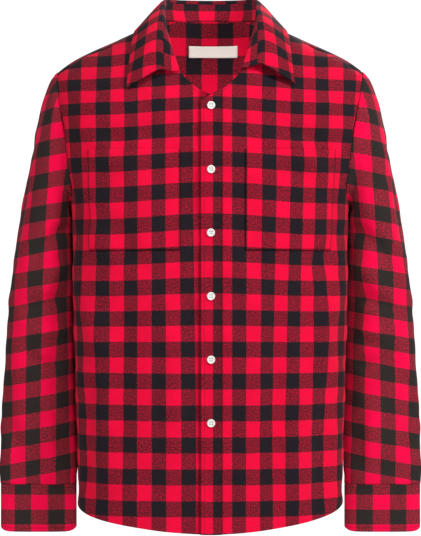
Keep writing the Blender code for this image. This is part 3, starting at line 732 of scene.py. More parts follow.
def fold_height(across, up, folds):
    """Height of the soft troughs and ridges at places on a panel, over its gentle swells."""
    height = np.zeros_like(across)
    bend = SWELL_BEND[0] * np.sin(SWELL_BEND[1] * up - SWELL_BEND[2] * across)
    for pitch, heading, phase, rise in SWELLS:
        run = across * math.cos(heading) + up * math.sin(heading)
        height += rise * np.sin(2 * math.pi * run / pitch + phase + bend)
    for x0, z0, x1, z1, bow, rise, width in folds:
        length = math.hypot(x1 - x0, z1 - z0)
        dx, dz = (x1 - x0) / length, (z1 - z0) / length
        run = np.clip(((across - x0) * dx + (up - z0) * dz) / length, 0, 1)
        off_x = across - x0 - run * length * dx
        off_z = up - z0 - run * length * dz
        sideways = off_z * dx - off_x * dz - 4 * bow * run * (1 - run)
        beyond = np.hypot(off_x, off_z)**2 - (off_z * dx - off_x * dz)**2
        fade = np.clip(FOLD_FADE * run * (1 - run), 0, 1) * np.exp(-np.maximum(beyond, 0) / width**2)
        height += FOLD_DEPTH * rise * fade * np.exp(-(sideways / width)**2)
    return height


def on_grid(grid, column, row):
    """A grid's value at fractional columns and rows."""
    column = np.clip(np.asarray(column, dtype=float), 0, grid.shape[0] - 1.000001)
    row = np.clip(np.asarray(row, dtype=float), 0, grid.shape[1] - 1.000001)
    c, r = column.astype(int), row.astype(int)
    a, b = (column - c)[..., None], (row - r)[..., None]
    return ((1 - a) * (1 - b) * grid[c, r] + a * (1 - b) * grid[c + 1, r]
            + (1 - a) * b * grid[c, r + 1] + a * b * grid[c + 1, r + 1])


# ================================================================ the panels
def check_column(side, q, z):
    """Black columns counted outward, at places on a front."""
    share = np.clip((z - COLUMN_LEVELS[0]) / (COLUMN_LEVELS[1] - COLUMN_LEVELS[0]), 0, 1)
    marks = []
    for chest, hem in zip(*CHECK_COLUMNS[side]):
        at_chest = arc_at(chest, COLUMN_LEVELS[0], side)
        at_hem = arc_at(hem, COLUMN_LEVELS[1], side)
        marks.append(at_chest + (at_hem - at_chest) * share)
    marks = np.array(marks)
    pitch = marks[1] - marks[0]
    count = (q - marks[0]) / pitch
    for index in range(1, len(marks) - 1):
        inner, outer = marks[index], marks[index + 1]
        count = np.where(q > inner, index + (q - inner) / (outer - inner), count)
    last = len(marks) - 1
    return np.where(q > marks[last], last + (q - marks[last]) / GRAIN[0], count)


def check_row(q, z):
    """Black rows counted up from the hem, at places on a front."""
    heights, rows = np.array(CHECK_ROWS).T
    upward = eased((z + ROW_DROOP_FROM) / ROW_DROOP_HEIGHT)
    droop = ROW_DROOP * eased(np.abs(q) / ROW_DROOP_WIDTH) * upward
    return np.interp(z + droop, heights, rows)


def front_check(side, area):
    """Check columns and rows over a grid of (q, z) on a front."""
    q, z = area[..., 0], area[..., 1]
    return pairs(side * check_column(side, q, z), check_row(q, z))


def overlap_lift(q, side):
    """How far a front stands out: the wearer's left one lies over the right one at the middle."""
    if side < 0:
        return np.zeros_like(q)
    return LAYER_STEP * eased((LIFT[1] - q) / (LIFT[1] - LIFT[0]))


def front_area(side):
    """Grid of (q, z) over a front, from its free edge to the armhole and side, hem to shoulder."""
    neck = []
    for x, z in smooth_through(NECKLINE)[::-1]:
        neck.append((arc_at(x, z, side), z))
    neck.insert(0, (-OVERLAP, neck[0][1] - FRONT_CORNER_SLOPE * OVERLAP))
    turn = -YOKE_FRONT_TURN - SEAM_GAP / SHOULDER_DROP
    end_x = armhole_x(turn, side)
    for x in np.linspace(NECKLINE[0][0], end_x, SHOULDER_SAMPLES)[1:]:
        z = shoulder_z(round(x, 5)) - drop_at(turn)
        neck.append((arc_at(x, z, side), z))
    low_q = edge_arc(HEM_CENTRE_Z, side) - SEAM_GAP
    low = np.array([(q, hem_z(q, side)) for q in np.linspace(-OVERLAP, low_q, HEM_SAMPLES[0])])
    edge = [(low_q, low[-1][1])]
    for z in np.linspace(low[-1][1], neck[-1][1], SIDE_SAMPLES[0])[1:]:
        edge.append((edge_arc(z, side) - SEAM_GAP, z))
    inner = np.array([low[0], neck[0]])
    across = shares(FRONT_DIVISIONS[0], low_q + OVERLAP)
    up = shares(FRONT_DIVISIONS[1], FRONT_LENGTH)
    return patch(low, np.array(neck), inner, np.array(edge), across, up)


def front_points(area, side, lift=0.0):
    """Points over a grid of (q, z) of a front, with its folds, lifted off the panel by a distance."""
    flat = [[torso_point(side * q, z) for q, z in column] for column in area]
    q, z = area[..., 0], area[..., 1]
    folds = FOLDS["front_left" if side > 0 else "front_right"]
    height = lift + overlap_lift(q, side) + fold_height(q, z, folds)
    return raise_grid(np.array(flat), height, FORWARD)


def back_area():
    """Grid of (q, z) over the back, from the wearer's right to left and from the hem to the yoke."""
    edges = []
    for side in (-1, 1):
        line = []
        for z in np.linspace(HEM_CENTRE_Z + HEM_RISE, YOKE_BACK_Z - SEAM_GAP, SIDE_SAMPLES[1]):
            line.append((side * (edge_arc(z, side, True) - SEAM_GAP), z))
        edges.append(np.array(line))
    right, left = edges
    hem_places = np.linspace(right[0][0], left[0][0], HEM_SAMPLES[1])
    low = np.array([(q, hem_z(q, 1, True)) for q in hem_places])
    high = np.array([right[-1], left[-1]])
    across = shares(BACK_DIVISIONS[0], left[0][0] - right[0][0])
    return patch(low, high, right, left, across, shares(BACK_DIVISIONS[1], BACK_LENGTH))


def yoke_neck():
    """The neck's edge of the yoke as (x, turn), from its right front corner round the back."""
    half, front_turn = NECKLINE[0][0], -YOKE_FRONT_TURN
    back_turn = turn_at(shoulder_z(0) - BACK_NECK_Z)
    edge = []
    for angle in np.linspace(0, math.pi, NECK_SAMPLES):
        turn = front_turn + (back_turn - front_turn) * math.sin(angle)
        edge.append((-half * math.cos(angle), turn))
    return edge


def yoke_area():
    """Grid of (x, turn) over the yoke, from its back seam to the neck and its front seams."""
    scale = np.array([1.0, SHOULDER_DROP])
    front_turn = -YOKE_FRONT_TURN
    high = []
    for x in np.linspace(-armhole_x(front_turn, -1), -NECKLINE[0][0], SHOULDER_SAMPLES)[:-1]:
        high.append((x, front_turn))
    high += yoke_neck()
    for x in np.linspace(NECKLINE[0][0], armhole_x(front_turn, 1), SHOULDER_SAMPLES)[1:]:
        high.append((x, front_turn))
    back_x = armhole_x(turn_at(shoulder_z(SHOULDER_X) - YOKE_BACK_Z), 1)
    low = []
    for x in np.linspace(-back_x, back_x, YOKE_SAMPLES[0]):
        low.append((x, turn_at(shoulder_z(round(x, 5)) - YOKE_BACK_Z)))
    ends = []
    for side in (-1, 1):
        turns = np.linspace(low[0][1], high[0][1], YOKE_SAMPLES[1])
        ends.append(np.array([(side * armhole_x(turn, side), turn) for turn in turns]) * scale)
    across = shares(YOKE_DIVISIONS[0], YOKE_SIZE[0])
    up = shares(YOKE_DIVISIONS[1], YOKE_SIZE[1])
    return patch(np.array(low) * scale, np.array(high) * scale, ends[0], ends[1], across, up) / scale


def armhole_loop(side, sides):
    """The armhole's edge as a loop from under the arm up the back, over and down the front."""
    top, low = shoulder_z(SHOULDER_X), ARMPIT_Z
    loop = []
    for angle in np.linspace(math.pi, -math.pi, sides + 1):
        z = (top + low) / 2 + (top - low) / 2 * math.cos(angle)
        point = torso_point(side * edge_arc(z, side, angle < 0), z, angle < 0)
        loop.append(point + np.array([side * ARMHOLE_CLEARANCE, 0, 0]))
    return loop


def rounded(angle, squareness):
    """Cosine and sine of an angle, on a superellipse."""
    c, s = math.cos(angle), math.sin(angle)
    power = 2 / squareness
    return math.copysign(abs(c) ** power, c), math.copysign(abs(s) ** power, s)


def sleeve_rings(side, sides):
    """The sleeve's cage: a ring at the armhole and one for each row of its table."""
    rings = [armhole_loop(side, sides)]
    for outer_x, outer_z, inner_x, inner_z, half_depth, middle_y, squareness, lie_back in SLEEVE_RINGS:
        ring = []
        for angle in np.linspace(math.pi, -math.pi, sides + 1):
            c, s = rounded(angle, squareness)
            x = (outer_x + inner_x) / 2 + (outer_x - inner_x) / 2 * c
            z = (outer_z + inner_z) / 2 + (outer_z - inner_z) / 2 * c
            y = middle_y - half_depth * s + lie_back * max(-c, 0.0) ** 2
            ring.append(np.array([side * x, y, z]))
        rings.append(ring)
    return np.array(rings)


def sleeve_points(side):
    """Smooth grid of a sleeve: round from under the arm, and down from the armhole to the cuff."""
    rows, sides = SLEEVE_DIVISIONS
    cage = sleeve_rings(side, sides)
    lines = []
    for index in range(sides + 1):
        fine = smooth_through(cage[:, index], 16)
        lines.append(along(fine, shares(rows, run_lengths(fine)[-1])))
    return np.array(lines)


def sleeve_places(points, side):
    """Distance round from the front's middle outward, and the check's columns and rows."""
    level = points.copy()
    level[..., 2] = 0.0
    run = reach(level, 0)
    anchor = points.shape[0] // 4
    around = run - run[anchor]
    heights, across = np.array(SLEEVE_COLUMN).T
    column_x = np.interp(points[..., 2], heights, across)
    x = side * points[..., 0]
    columns = (x[anchor] - column_x[anchor] + around) / SLEEVE_PITCH[0]
    rows = (points[..., 2] - SLEEVE_ROW_Z + SLEEVE_ROW_SLOPE * (x - column_x)) / SLEEVE_PITCH[1]
    return around, pairs(side * columns, rows)


def cuff_points(side):
    """Grid of a cuff: a band that laps over itself at the outer back, its lower corners rounded."""
    columns, rows = CUFF_DIVISIONS[1], CUFF_DIVISIONS[0]
    grid = []
    for share in np.linspace(0, 1, columns + 1):
        angle = CUFF_LAP[0] + (CUFF_LAP[1] - CUFF_LAP[0]) * share
        c, s = rounded(angle, CUFF_SQUARENESS)
        low = CUFF_BOTTOM_Z + CUFF_CORNER_RISE * abs(c) ** CUFF_CORNER_POWER
        past = angle - CUFF_LAP[0] - 2 * math.pi + CUFF_LAP_TURN
        lift = CUFF_WALL * float(eased(past / CUFF_LAP_TURN))
        x = side * (CUFF_CENTRE[0] + (CUFF_HALF_WIDTH + lift) * c)
        y = CUFF_CENTRE[1] - (CUFF_HALF_DEPTH + lift) * s
        downs = shares(rows, CUFF_LENGTH)
        grid.append([(x, y, CUFF_TOP_Z + (low - CUFF_TOP_Z) * down) for down in downs])
    return np.array(grid)


def cuff_check(points, side):
    """Check columns and rows over a cuff."""
    run = reach(points, 0)
    x = side * points[..., 0]
    front = points[:, :1, 1] < CUFF_CENTRE[1] - 0.5 * CUFF_HALF_DEPTH
    anchor = int(np.argmin(np.where(front[:, 0], np.abs(x[:, 0] - CUFF_COLUMN_X), 1.0)))
    columns = (run - run[anchor]) / CUFF_PITCH[0]
    return pairs(columns, (points[..., 2] - CUFF_ROW_Z) / CUFF_PITCH[1])


# ================================================================ the collar
def half_neckline():
    """Points along the neck seam from the middle of the back to the V, on the wearer's left."""
    edge = yoke_neck()
    back = [shoulder_point(x, turn) for x, turn in edge if x >= 0]
    back.insert(0, shoulder_point(0.0, max(turn for _, turn in edge)))
    front = []
    for x, z in smooth_through(NECKLINE)[1:]:
        front.append(torso_point(arc_at(x, z, 1), z))
    return np.array(back + front)


def face_normal(point):
    """Outward direction of the shoulder's rounded face near a point of it."""
    height = point[2] - shoulder_z(round(float(point[0]), 5)) + SHOULDER_DROP
    return unit(np.array([0.0, point[1] / TORSO_RINGS[-1][2] ** 2, max(height, 0.0) / SHOULDER_DROP**2]))


def collar_stations(count):
    """Neck seam, bulge, leaf seam, crown and edge at stations from the right end to the left."""
    half = along(half_neckline(), np.linspace(0, NECK_END_PLACE, (count + 1) // 2))
    lifted = []
    for side in (-1, 1):
        line = []
        for point in half:
            lift = STAND_LIFT
            if point[1] < 0:
                lift += float(overlap_lift(np.array(point[0]), side))
            line.append((point + lift * face_normal(point)) * (side, 1, 1))
        lifted.append(line)
    seam = np.vstack([lifted[0][:0:-1], lifted[1]])
    left = np.array(COLLAR_STATIONS)
    right = left * np.tile((-1, 1, 1), 4)
    rise = COLLAR_LEFT_RISE * np.linspace(0, 1, len(left)) ** COLLAR_RISE_POWER
    left[:, 2::3] += rise[:, None] * COLLAR_RISE_SHARES
    rows = smooth_through(np.vstack([right[:0:-1], left]), 24)
    wanted = np.linspace(0, len(rows) - 1, count)
    rows = rows_at(wanted, np.arange(len(rows)), rows)
    return seam, *np.split(rows, 4, axis=1)


def bent(controls, places):
    """A Bezier bend through its control points, as a row of points."""
    degree = len(controls) - 1
    row = []
    for t in places:
        weights = [math.comb(degree, k) * t**k * (1 - t) ** (degree - k) for k in range(degree + 1)]
        row.append(sum(weight * control for weight, control in zip(weights, controls)))
    return row


def stand_points():
    """Grid of the collar stand, from the neck seam to the leaf's seam."""
    columns, rows, _ = COLLAR_DIVISIONS
    seam, bulge, leaf_seam, _, _ = collar_stations(columns + 1)
    places = np.linspace(0, 1, rows + 1)
    grid = []
    for start, middle, end in zip(seam, bulge, leaf_seam):
        grid.append(bent((start, middle, end - LEAF_SEAM_INSET * unit(end - middle)), places))
    return np.array(grid)


def leaf_points():
    """Grid of the collar leaf, from its seam over the fold to its edge."""
    columns, _, rows = COLLAR_DIVISIONS
    _, bulge, leaf_seam, crown, edge = collar_stations(columns + 1)
    places = np.linspace(0, 1, rows + 1) ** LEAF_CROWDING
    grid = []
    for before, start, top, end in zip(bulge, leaf_seam, crown, edge):
        lead = unit(start - before)
        grid.append(bent((start + LEAF_SEAM_INSET * lead, start + LEAF_LEAD * lead, top, end), places))
    return np.array(grid)


def stand_check(points):
    """Check columns and rows over the stand, counted along it and down from the leaf's seam."""
    run = reach(points, 0)
    middle = points.shape[1] // 2
    anchor = int(np.argmin(np.abs(points[:, middle, 0] - STAND_COLUMN_X)
                           + np.where(points[:, middle, 1] > STAND_BACK_Y, 0.0, 1.0)))
    columns = (run[:, middle:middle + 1] - run[anchor, middle]) / STAND_PITCH[0]
    below = edge_distance(points, "high")
    rows = -HALF_BAND - (below - STAND_BLACK) / STAND_PITCH[1]
    return pairs(columns + 0 * rows, rows)


def leaf_check(points):
    """Check columns and rows over the leaf, counted from the middle of the back and from its seam."""
    run = reach(points, 0)
    middle = points.shape[1] // 2
    centre = points.shape[0] // 2
    from_back = np.abs(run[:, middle:middle + 1] - run[centre, middle])
    out = reach(points, 1)
    shift = np.where(points[..., 0] > 0, LEAF_LEFT_SHIFT, 0.0)
    columns = (from_back - LEAF_SKEW * (out - LEAF_SKEW_FROM)) / LEAF_PITCH[0] + shift
    return pairs(columns, out / LEAF_PITCH[1])


# ================================================================ materials
def set_inputs(tree, node, values):
    """Set a node's inputs, each to a plain value or joined to another node's output."""
    for key, value in values.items():
        socket = node.inputs[key]
        if isinstance(value, bpy.types.NodeSocket):
            tree.links.new(value, socket)
        else:
            socket.default_value = (*value, 1.0) if socket.type == "RGBA" else value


def math_node(tree, operation, *values):
    """A math node's result."""
    made = tree.nodes.new("ShaderNodeMath")
    made.operation = operation
    set_inputs(tree, made, dict(enumerate(values)))
    return made.outputs[0]


def smooth_ramp(tree, value, places, ends):
    """A value eased between two ends as another one goes between two places."""
    ramp = tree.nodes.new("ShaderNodeMapRange")
    ramp.interpolation_type = "SMOOTHSTEP"
    set_inputs(tree, ramp, {"Value": value, "From Min": places[0], "From Max": places[1],
                            "To Min": ends[0], "To Max": ends[1]})
    return ramp.outputs["Result"]


def band(tree, place):
    """One on the black bands of the check and zero between, with soft edges."""
    away = math_node(tree, "PINGPONG", place, 0.5)
    return smooth_ramp(tree, away, (HALF_BAND - BAND_SOFTNESS, HALF_BAND + BAND_SOFTNESS), (1.0, 0.0))


def noise(tree, place, scale, detail=2.0, rough=0.5):
    """Noise between 0 and 1 over a place."""
    made = tree.nodes.new("ShaderNodeTexNoise")
    set_inputs(tree, made, {"Vector": place, "Scale": scale, "Detail": detail, "Roughness": rough})
    return made.outputs["Fac"]


def blend(tree, factor, first, second):
    """A mix of two colours."""
    made = tree.nodes.new("ShaderNodeMix")
    made.data_type = "RGBA"
    set_inputs(tree, made, {0: factor, 6: first, 7: second})
    return made.outputs[2]


def uv_map(tree, name):
    """The place on one of the cloth's two maps."""
    made = tree.nodes.new("ShaderNodeUVMap")
    made.uv_map = name
    return made.outputs["UV"]


def split(tree, place):
    """The X and the Y of a place."""
    parts = tree.nodes.new("ShaderNodeSeparateXYZ")
    set_inputs(tree, parts, {0: place})
    return parts.outputs["X"], parts.outputs["Y"]


def new_material(name):
    """A new material, its node tree and its shader."""
    material = bpy.data.materials.new(name)
    material.use_nodes = True
    return material, material.node_tree, material.node_tree.nodes["Principled BSDF"]


def add_bump(tree, shader, height, depth):
    """Raise a shader's surface by a height."""
    bump = tree.nodes.new("ShaderNodeBump")
    set_inputs(tree, bump, {"Strength": BUMP_STRENGTH, "Distance": depth, "Height": height})
    set_inputs(tree, shader, {"Normal": bump.outputs["Normal"]})


def flannel(name, red, black):
    """Brushed twill woven in a check of two yarns, with a soft nap, and painted shade beside its seams and
    rows of stitches.
    """
    material, tree, shader = new_material(name)
    calc = functools.partial(math_node, tree)
    check = uv_map(tree, "check")
    metres = tree.nodes.new("ShaderNodeVectorMath")
    metres.operation = "MULTIPLY"
    set_inputs(tree, metres, {0: check, 1: (*GRAIN, 1.0)})
    place = metres.outputs["Vector"]
    fibres = noise(tree, place, FIBRE_SCALE)

    # the black bands, their edges wandering with the yarns
    wander = calc("MULTIPLY", calc("SUBTRACT", noise(tree, place, YARN_WANDER_SCALE), 0.5), YARN_WANDER)
    columns, rows = (band(tree, calc("ADD", part, wander)) for part in split(tree, check))

    # the twill's ribs: the warp shows on half of each, the weft on the other half
    slant = calc("DIVIDE", calc("ADD", *split(tree, place)), TWILL_PITCH)
    slant = calc("ADD", slant, calc("MULTIPLY", fibres, TWILL_WANDER))
    rib = calc("MULTIPLY", calc("PINGPONG", slant, 0.5), 2.0)
    warp = calc("GREATER_THAN", rib, 0.5)
    weft = calc("SUBTRACT", 1.0, warp)
    dark = calc("ADD", calc("MULTIPLY", columns, warp), calc("MULTIPLY", rows, weft))

    # where red and black yarns cross, the cloth is darker and flecked
    mixed = calc("ABSOLUTE", calc("SUBTRACT", columns, rows))
    more = calc("MULTIPLY", calc("SUBTRACT", 1.0, dark), HEATHER_DARKENING)
    dark = calc("ADD", dark, calc("MULTIPLY", mixed, more))
    speckle = calc("SUBTRACT", noise(tree, place, SPECKLE_SCALE, FINE_DETAIL, SPECKLE_ROUGHNESS), 0.5)
    fleck = calc("MULTIPLY_ADD", mixed, HEATHER_SPECKLE, PLAIN_SPECKLE)
    dark = calc("ADD", dark, calc("MULTIPLY", speckle, fleck))
    clamp = tree.nodes.new("ShaderNodeClamp")
    set_inputs(tree, clamp, {"Value": dark})
    colour = blend(tree, clamp.outputs["Result"], red, black)

    # the tone: clouds and fibres, with painted shade beside seams and what is sewn on, and in rows of
    # stitches
    clouds = calc("MULTIPLY", noise(tree, place, CLOUD_SCALE, FINE_DETAIL), CLOUD_TONE)
    tone = calc("ADD", clouds, calc("MULTIPLY", fibres, FIBRE_TONE))
    # painted shade: rim darkens within reach of a seam or of what is sewn on, sunk along the rows of stitches
    near, stitch = split(tree, uv_map(tree, "seams"))
    rim = smooth_ramp(tree, near, (0.0, RIM_SHADE_REACH), (1 - RIM_SHADE, 1.0))
    away = calc("ABSOLUTE", stitch)
    sunk = smooth_ramp(tree, away, (0.0, STITCH_SHADE_REACH), (1 - STITCH_SHADE, 1.0))
    tone = calc("MULTIPLY", calc("ADD", tone, BASE_TONE), calc("MULTIPLY", rim, sunk))
    faded = tree.nodes.new("ShaderNodeHueSaturation")
    set_inputs(tree, faded, {"Color": colour, "Value": tone})
    set_inputs(tree, shader, {"Base Color": faded.outputs["Color"], **FLANNEL_FINISH})
    add_bump(tree, shader, calc("ADD", calc("MULTIPLY", rib, RIB_RELIEF), fibres), FLANNEL_BUMP_DEPTH)
    return material


def plain(name, colour, roughness, grain_scale, grain, bump_depth):
    """A plain finish with a fine variation of tone and surface."""
    material, tree, shader = new_material(name)
    place = tree.nodes.new("ShaderNodeTexCoord").outputs["Object"]
    speckle = noise(tree, place, grain_scale, FINE_DETAIL)
    darker = tuple(value * (1 - grain) for value in colour)
    set_inputs(tree, shader, {"Base Color": blend(tree, speckle, colour, darker), "Roughness": roughness})
    add_bump(tree, shader, speckle, bump_depth)
    return material


# ================================================================ pieces
def mesh_from(build, name):
    """A mesh made from a bmesh, which is freed."""
    mesh = bpy.data.meshes.new(name)
    build.to_mesh(mesh)
    build.free()
    return mesh


def add_object(name, data):
    """A new object in the scene."""
    made = bpy.data.objects.new(name, data)
    bpy.context.scene.collection.objects.link(made)
    return made


def sewn_distance(points, edges):
    """Each point's distance from the nearest of a grid's sewn edges."""
    return np.minimum.reduce([edge_distance(points, edge) for edge in edges])


def seam_map(points, edges, stitch):
    """Distances from a grid's sewn edges, and from the rows of stitches at a distance in from them, which
    place the painted shade beside them.
    """
    near = sewn_distance(points, edges)
    return pairs(near, near - stitch)


def shell(name, cloth, points, check, seams, materials):
    """A sheet of cloth through a grid of points, thickened evenly and standing for its solid; its seams map
    places its painted shade.
    """
    wall, slot, _ = cloth
    build = bmesh.new()
    layers = [(build.loops.layers.uv.new("check"), check), (build.loops.layers.uv.new("seams"), seams)]
    verts = [[build.verts.new(point) for point in column] for column in points]
    for column in range(points.shape[0] - 1):
        for row in range(points.shape[1] - 1):
            places = ((column, row), (column + 1, row), (column + 1, row + 1), (column, row + 1))
            face = build.faces.new([verts[c][r] for c, r in places])
            for loop, place in zip(face.loops, places):
                for layer, values in layers:
                    loop[layer].uv = values[place]
    mesh = mesh_from(build, name)
    mesh.shade_smooth()
    mesh.materials.append(materials[slot])
    piece = add_object(f"{name}_cloth", mesh)
    solidify = piece.modifiers.new("wall", "SOLIDIFY")
    solidify.thickness = wall
    solidify.offset = 0.0
    solidify.use_rim = True
    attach(piece, "root")
    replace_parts(piece, name)
    return piece


def inset_line(points, edge, inset):
    """Fractional columns and rows of a line at a distance in from an edge of a grid."""
    sideways = edge in ("start", "end")
    far_side = edge in ("end", "high")
    run = edge_distance(points, edge)
    if not sideways:
        run = run.T
    if far_side:
        run = run[::-1]
    count = run.shape[1]
    inward = np.array([np.interp(inset, run[:, index], np.arange(len(run))) for index in range(count)])
    if far_side:
        inward = len(run) - 1 - inward
    along_edge = np.arange(count, dtype=float)
    return (inward, along_edge) if sideways else (along_edge, inward)


def dashes(points, line, height, outward):
    """Ends and normals of the stitches along a line on a grid."""
    normals = on_grid(grid_normals(points, outward), *line)
    path = on_grid(points, *line) + height * normals
    lengths = run_lengths(path)
    starts = np.arange(STITCH_GAP, lengths[-1] - STITCH_LENGTH, STITCH_LENGTH + STITCH_GAP)
    return list(zip(rows_at(starts, lengths, path), rows_at(starts + STITCH_LENGTH, lengths, path),
                    rows_at(starts, lengths, normals)))


def stitch_rows(points, edges, inset, height, outward):
    """The stitches in rows at a distance in from edges of a grid."""
    runs = []
    for edge in edges:
        runs += dashes(points, inset_line(points, edge, inset), height, outward)
    return runs


def add_stitches(name, cloth, runs, materials):
    """All of a piece's stitches, each a short thread with pointed ends, as one mesh."""
    _, slot, thread = cloth
    build = bmesh.new()
    for start, end, normal in runs:
        sideways = np.cross(end - start, normal)
        sideways *= STITCH_RADIUS / max(np.linalg.norm(sideways), 1e-12)
        up = normal * STITCH_RADIUS / max(np.linalg.norm(normal), 1e-12)
        middle = (start + end) / 2
        tips = [build.verts.new(start - 0.5 * up), build.verts.new(end - 0.5 * up)]
        belt = [build.verts.new(middle + offset) for offset in (sideways, up, -sideways, -up)]
        for first, second in zip(belt, belt[1:] + belt[:1]):
            build.faces.new((tips[0], second, first))
            build.faces.new((tips[1], first, second))
    mesh = mesh_from(build, name)
    mesh.materials.append(materials[thread])
    piece = add_object(name, mesh)
    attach(piece, "root")


def button_disc():
    """A button's mesh before its holes are cut, facing +Z: a raised rim round a dished middle."""
    build = bmesh.new()
    rings = []
    for radius, height in BUTTON_PROFILE:
        if radius == 0:
            rings.append([build.verts.new((0, 0, height * BUTTON_THICKNESS))] * BUTTON_SIDES)
            continue
        ring = []
        for angle in np.arange(BUTTON_SIDES) * 2 * math.pi / BUTTON_SIDES:
            place = (radius * BUTTON_RADIUS * math.cos(angle), radius * BUTTON_RADIUS * math.sin(angle))
            ring.append(build.verts.new((*place, height * BUTTON_THICKNESS)))
        rings.append(ring)
    for lower, upper in zip(rings, rings[1:]):
        for index in range(BUTTON_SIDES):
            after = (index + 1) % BUTTON_SIDES
            face = dict.fromkeys((lower[index], lower[after], upper[after], upper[index]))
            build.faces.new(list(face))
    bmesh.ops.recalc_face_normals(build, faces=build.faces)
    return mesh_from(build, "button")


def add_cylinder(build, sides, radius, depth, centre):
    """A closed upright cylinder in a bmesh."""
    made = bmesh.ops.create_cone(build, cap_ends=True, segments=sides, radius1=radius, radius2=radius,
                                 depth=depth)
    bmesh.ops.translate(build, verts=made["verts"], vec=centre)


def button_mesh():
    """A four-hole shirt button."""
    build = bmesh.new()
    for x in (-BUTTON_HOLE_PLACE, BUTTON_HOLE_PLACE):
        for y in (-BUTTON_HOLE_PLACE, BUTTON_HOLE_PLACE):
            add_cylinder(build, BUTTON_HOLE_SIDES, BUTTON_HOLE_RADIUS, 3 * BUTTON_THICKNESS, (x, y, 0))
    body = add_object("button_body", button_disc())
    holes = add_object("button_holes", mesh_from(build, "holes"))
    cut = body.modifiers.new("holes", "BOOLEAN")
    cut.operation = "DIFFERENCE"
    cut.object = holes
    done = bpy.data.meshes.new_from_object(body.evaluated_get(bpy.context.evaluated_depsgraph_get()))
    for item in (body, holes):
        bpy.data.objects.remove(item, do_unlink=True)
    done.shade_smooth()
    done.set_sharp_from_angle(angle=BUTTON_SHARP_ANGLE)
    return done


def thread_mesh():
    """The sewing thread of a button: bars across its holes, and a shank behind."""
    build = bmesh.new()
    for x in (-BUTTON_HOLE_PLACE, BUTTON_HOLE_PLACE):
        made = bmesh.ops.create_uvsphere(build, u_segments=10, v_segments=6, radius=1.0)
        bmesh.ops.scale(build, verts=made["verts"], vec=(THREAD_RADIUS, BUTTON_HOLE_PLACE, THREAD_RADIUS))
        bmesh.ops.translate(build, verts=made["verts"], vec=(x, 0, THREAD_HEIGHT * BUTTON_THICKNESS))
    add_cylinder(build, SHANK_SIDES, SHANK_RADIUS, SHANK_LENGTH, (0, 0, -0.5 * BUTTON_THICKNESS - SHANK_DROP))
    mesh = mesh_from(build, "thread")
    mesh.shade_smooth()
    return mesh


def place_facing(name, mesh, centre, normal):
    """An object with its +Z along a normal."""
    piece = add_object(name, mesh)
    turn = Vector(normal).to_track_quat("Z", "Y").to_matrix().to_4x4()
    turn.translation = Vector(centre)
    piece.matrix_world = turn
    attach(piece, "root")
    return piece


def add_button(name, centre, normal, disc, thread):
    """A button, standing for its solid, with its thread."""
    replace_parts(place_facing(f"{name}_disc", disc, centre, normal), name)
    place_facing(f"{name}_thread", thread, centre, normal)


# ================================================================ the shirt
def lying_distance(side, q, z):
    """Distances on a front from its pocket's and its placket's outlines, negative under them, which place the
    painted shade beside them.
    """
    distance = UNDER_SHADE_RATE * (q - OVERLAP) if side < 0 else q - PLACKET_WIDTH + OVERLAP
    for _, pocket_side, inner_q in POCKETS:
        if pocket_side == side:
            across = np.maximum(inner_q - q, q - inner_q - POCKET_WIDTH)
            beyond = np.maximum(POCKET_BOTTOM_Z - z, MOUTH_SHADE_RATE * (z - POCKET_TOP_Z))
            distance = np.minimum(distance, np.maximum(across, beyond))
    return distance


def add_front(name, side, materials):
    """One front, with a stitched hem and shoulder seam."""
    area = front_area(side)
    edges = ("end", "high")
    points = sewn(front_points(area, side), edges, FORWARD)
    own = sewn_distance(points, edges)
    # painted shade beside its own seams and beside the pocket and placket on it, and along its shoulder's row
    # of stitches
    seams = pairs(np.minimum(own, lying_distance(side, area[..., 0], area[..., 1])), own - SEAM_STITCH)
    piece = shell(name, BODY, points, front_check(side, area), seams, materials)
    runs = stitch_rows(points, ("low",), HEM_STITCH, WALL / 2, FORWARD)
    runs += stitch_rows(points, ("high",), SEAM_STITCH, WALL / 2, FORWARD)
    add_stitches(f"{name}_stitches", BODY, runs, materials)
    return piece


def add_placket(materials):
    """The placket band, lying on the wearer's left front along its free edge."""
    columns, rows = PLACKET_DIVISIONS
    top = smooth_through(NECKLINE)[::-1]
    grid = []
    for q in shares(columns, PLACKET_WIDTH) * PLACKET_WIDTH - OVERLAP:
        high = float(np.interp(q, top[:, 0], top[:, 1])) + min(q, 0.0) * FRONT_CORNER_SLOPE
        grid.append([(q, z) for z in np.linspace(hem_z(q, 1), high - PLACKET_TOP_GAP, rows + 1)])
    area = np.array(grid)
    edges = ("start", "end")
    points = sewn(front_points(area, 1, LAYER_STEP), edges, FORWARD, 0.0, PLACKET_PUCKER)
    q, z = area[..., 0], area[..., 1]
    check = pairs((q - PLACKET_COLUMN) / PLACKET_PITCH, check_row(q, z))
    seams = seam_map(points, edges, PLACKET_STITCH)
    piece = shell("front_placket", BAND, points, check, seams, materials)
    runs = stitch_rows(points, edges, PLACKET_STITCH, BAND_WALL / 2, FORWARD)
    add_stitches("placket_stitches", BAND, runs, materials)
    return piece


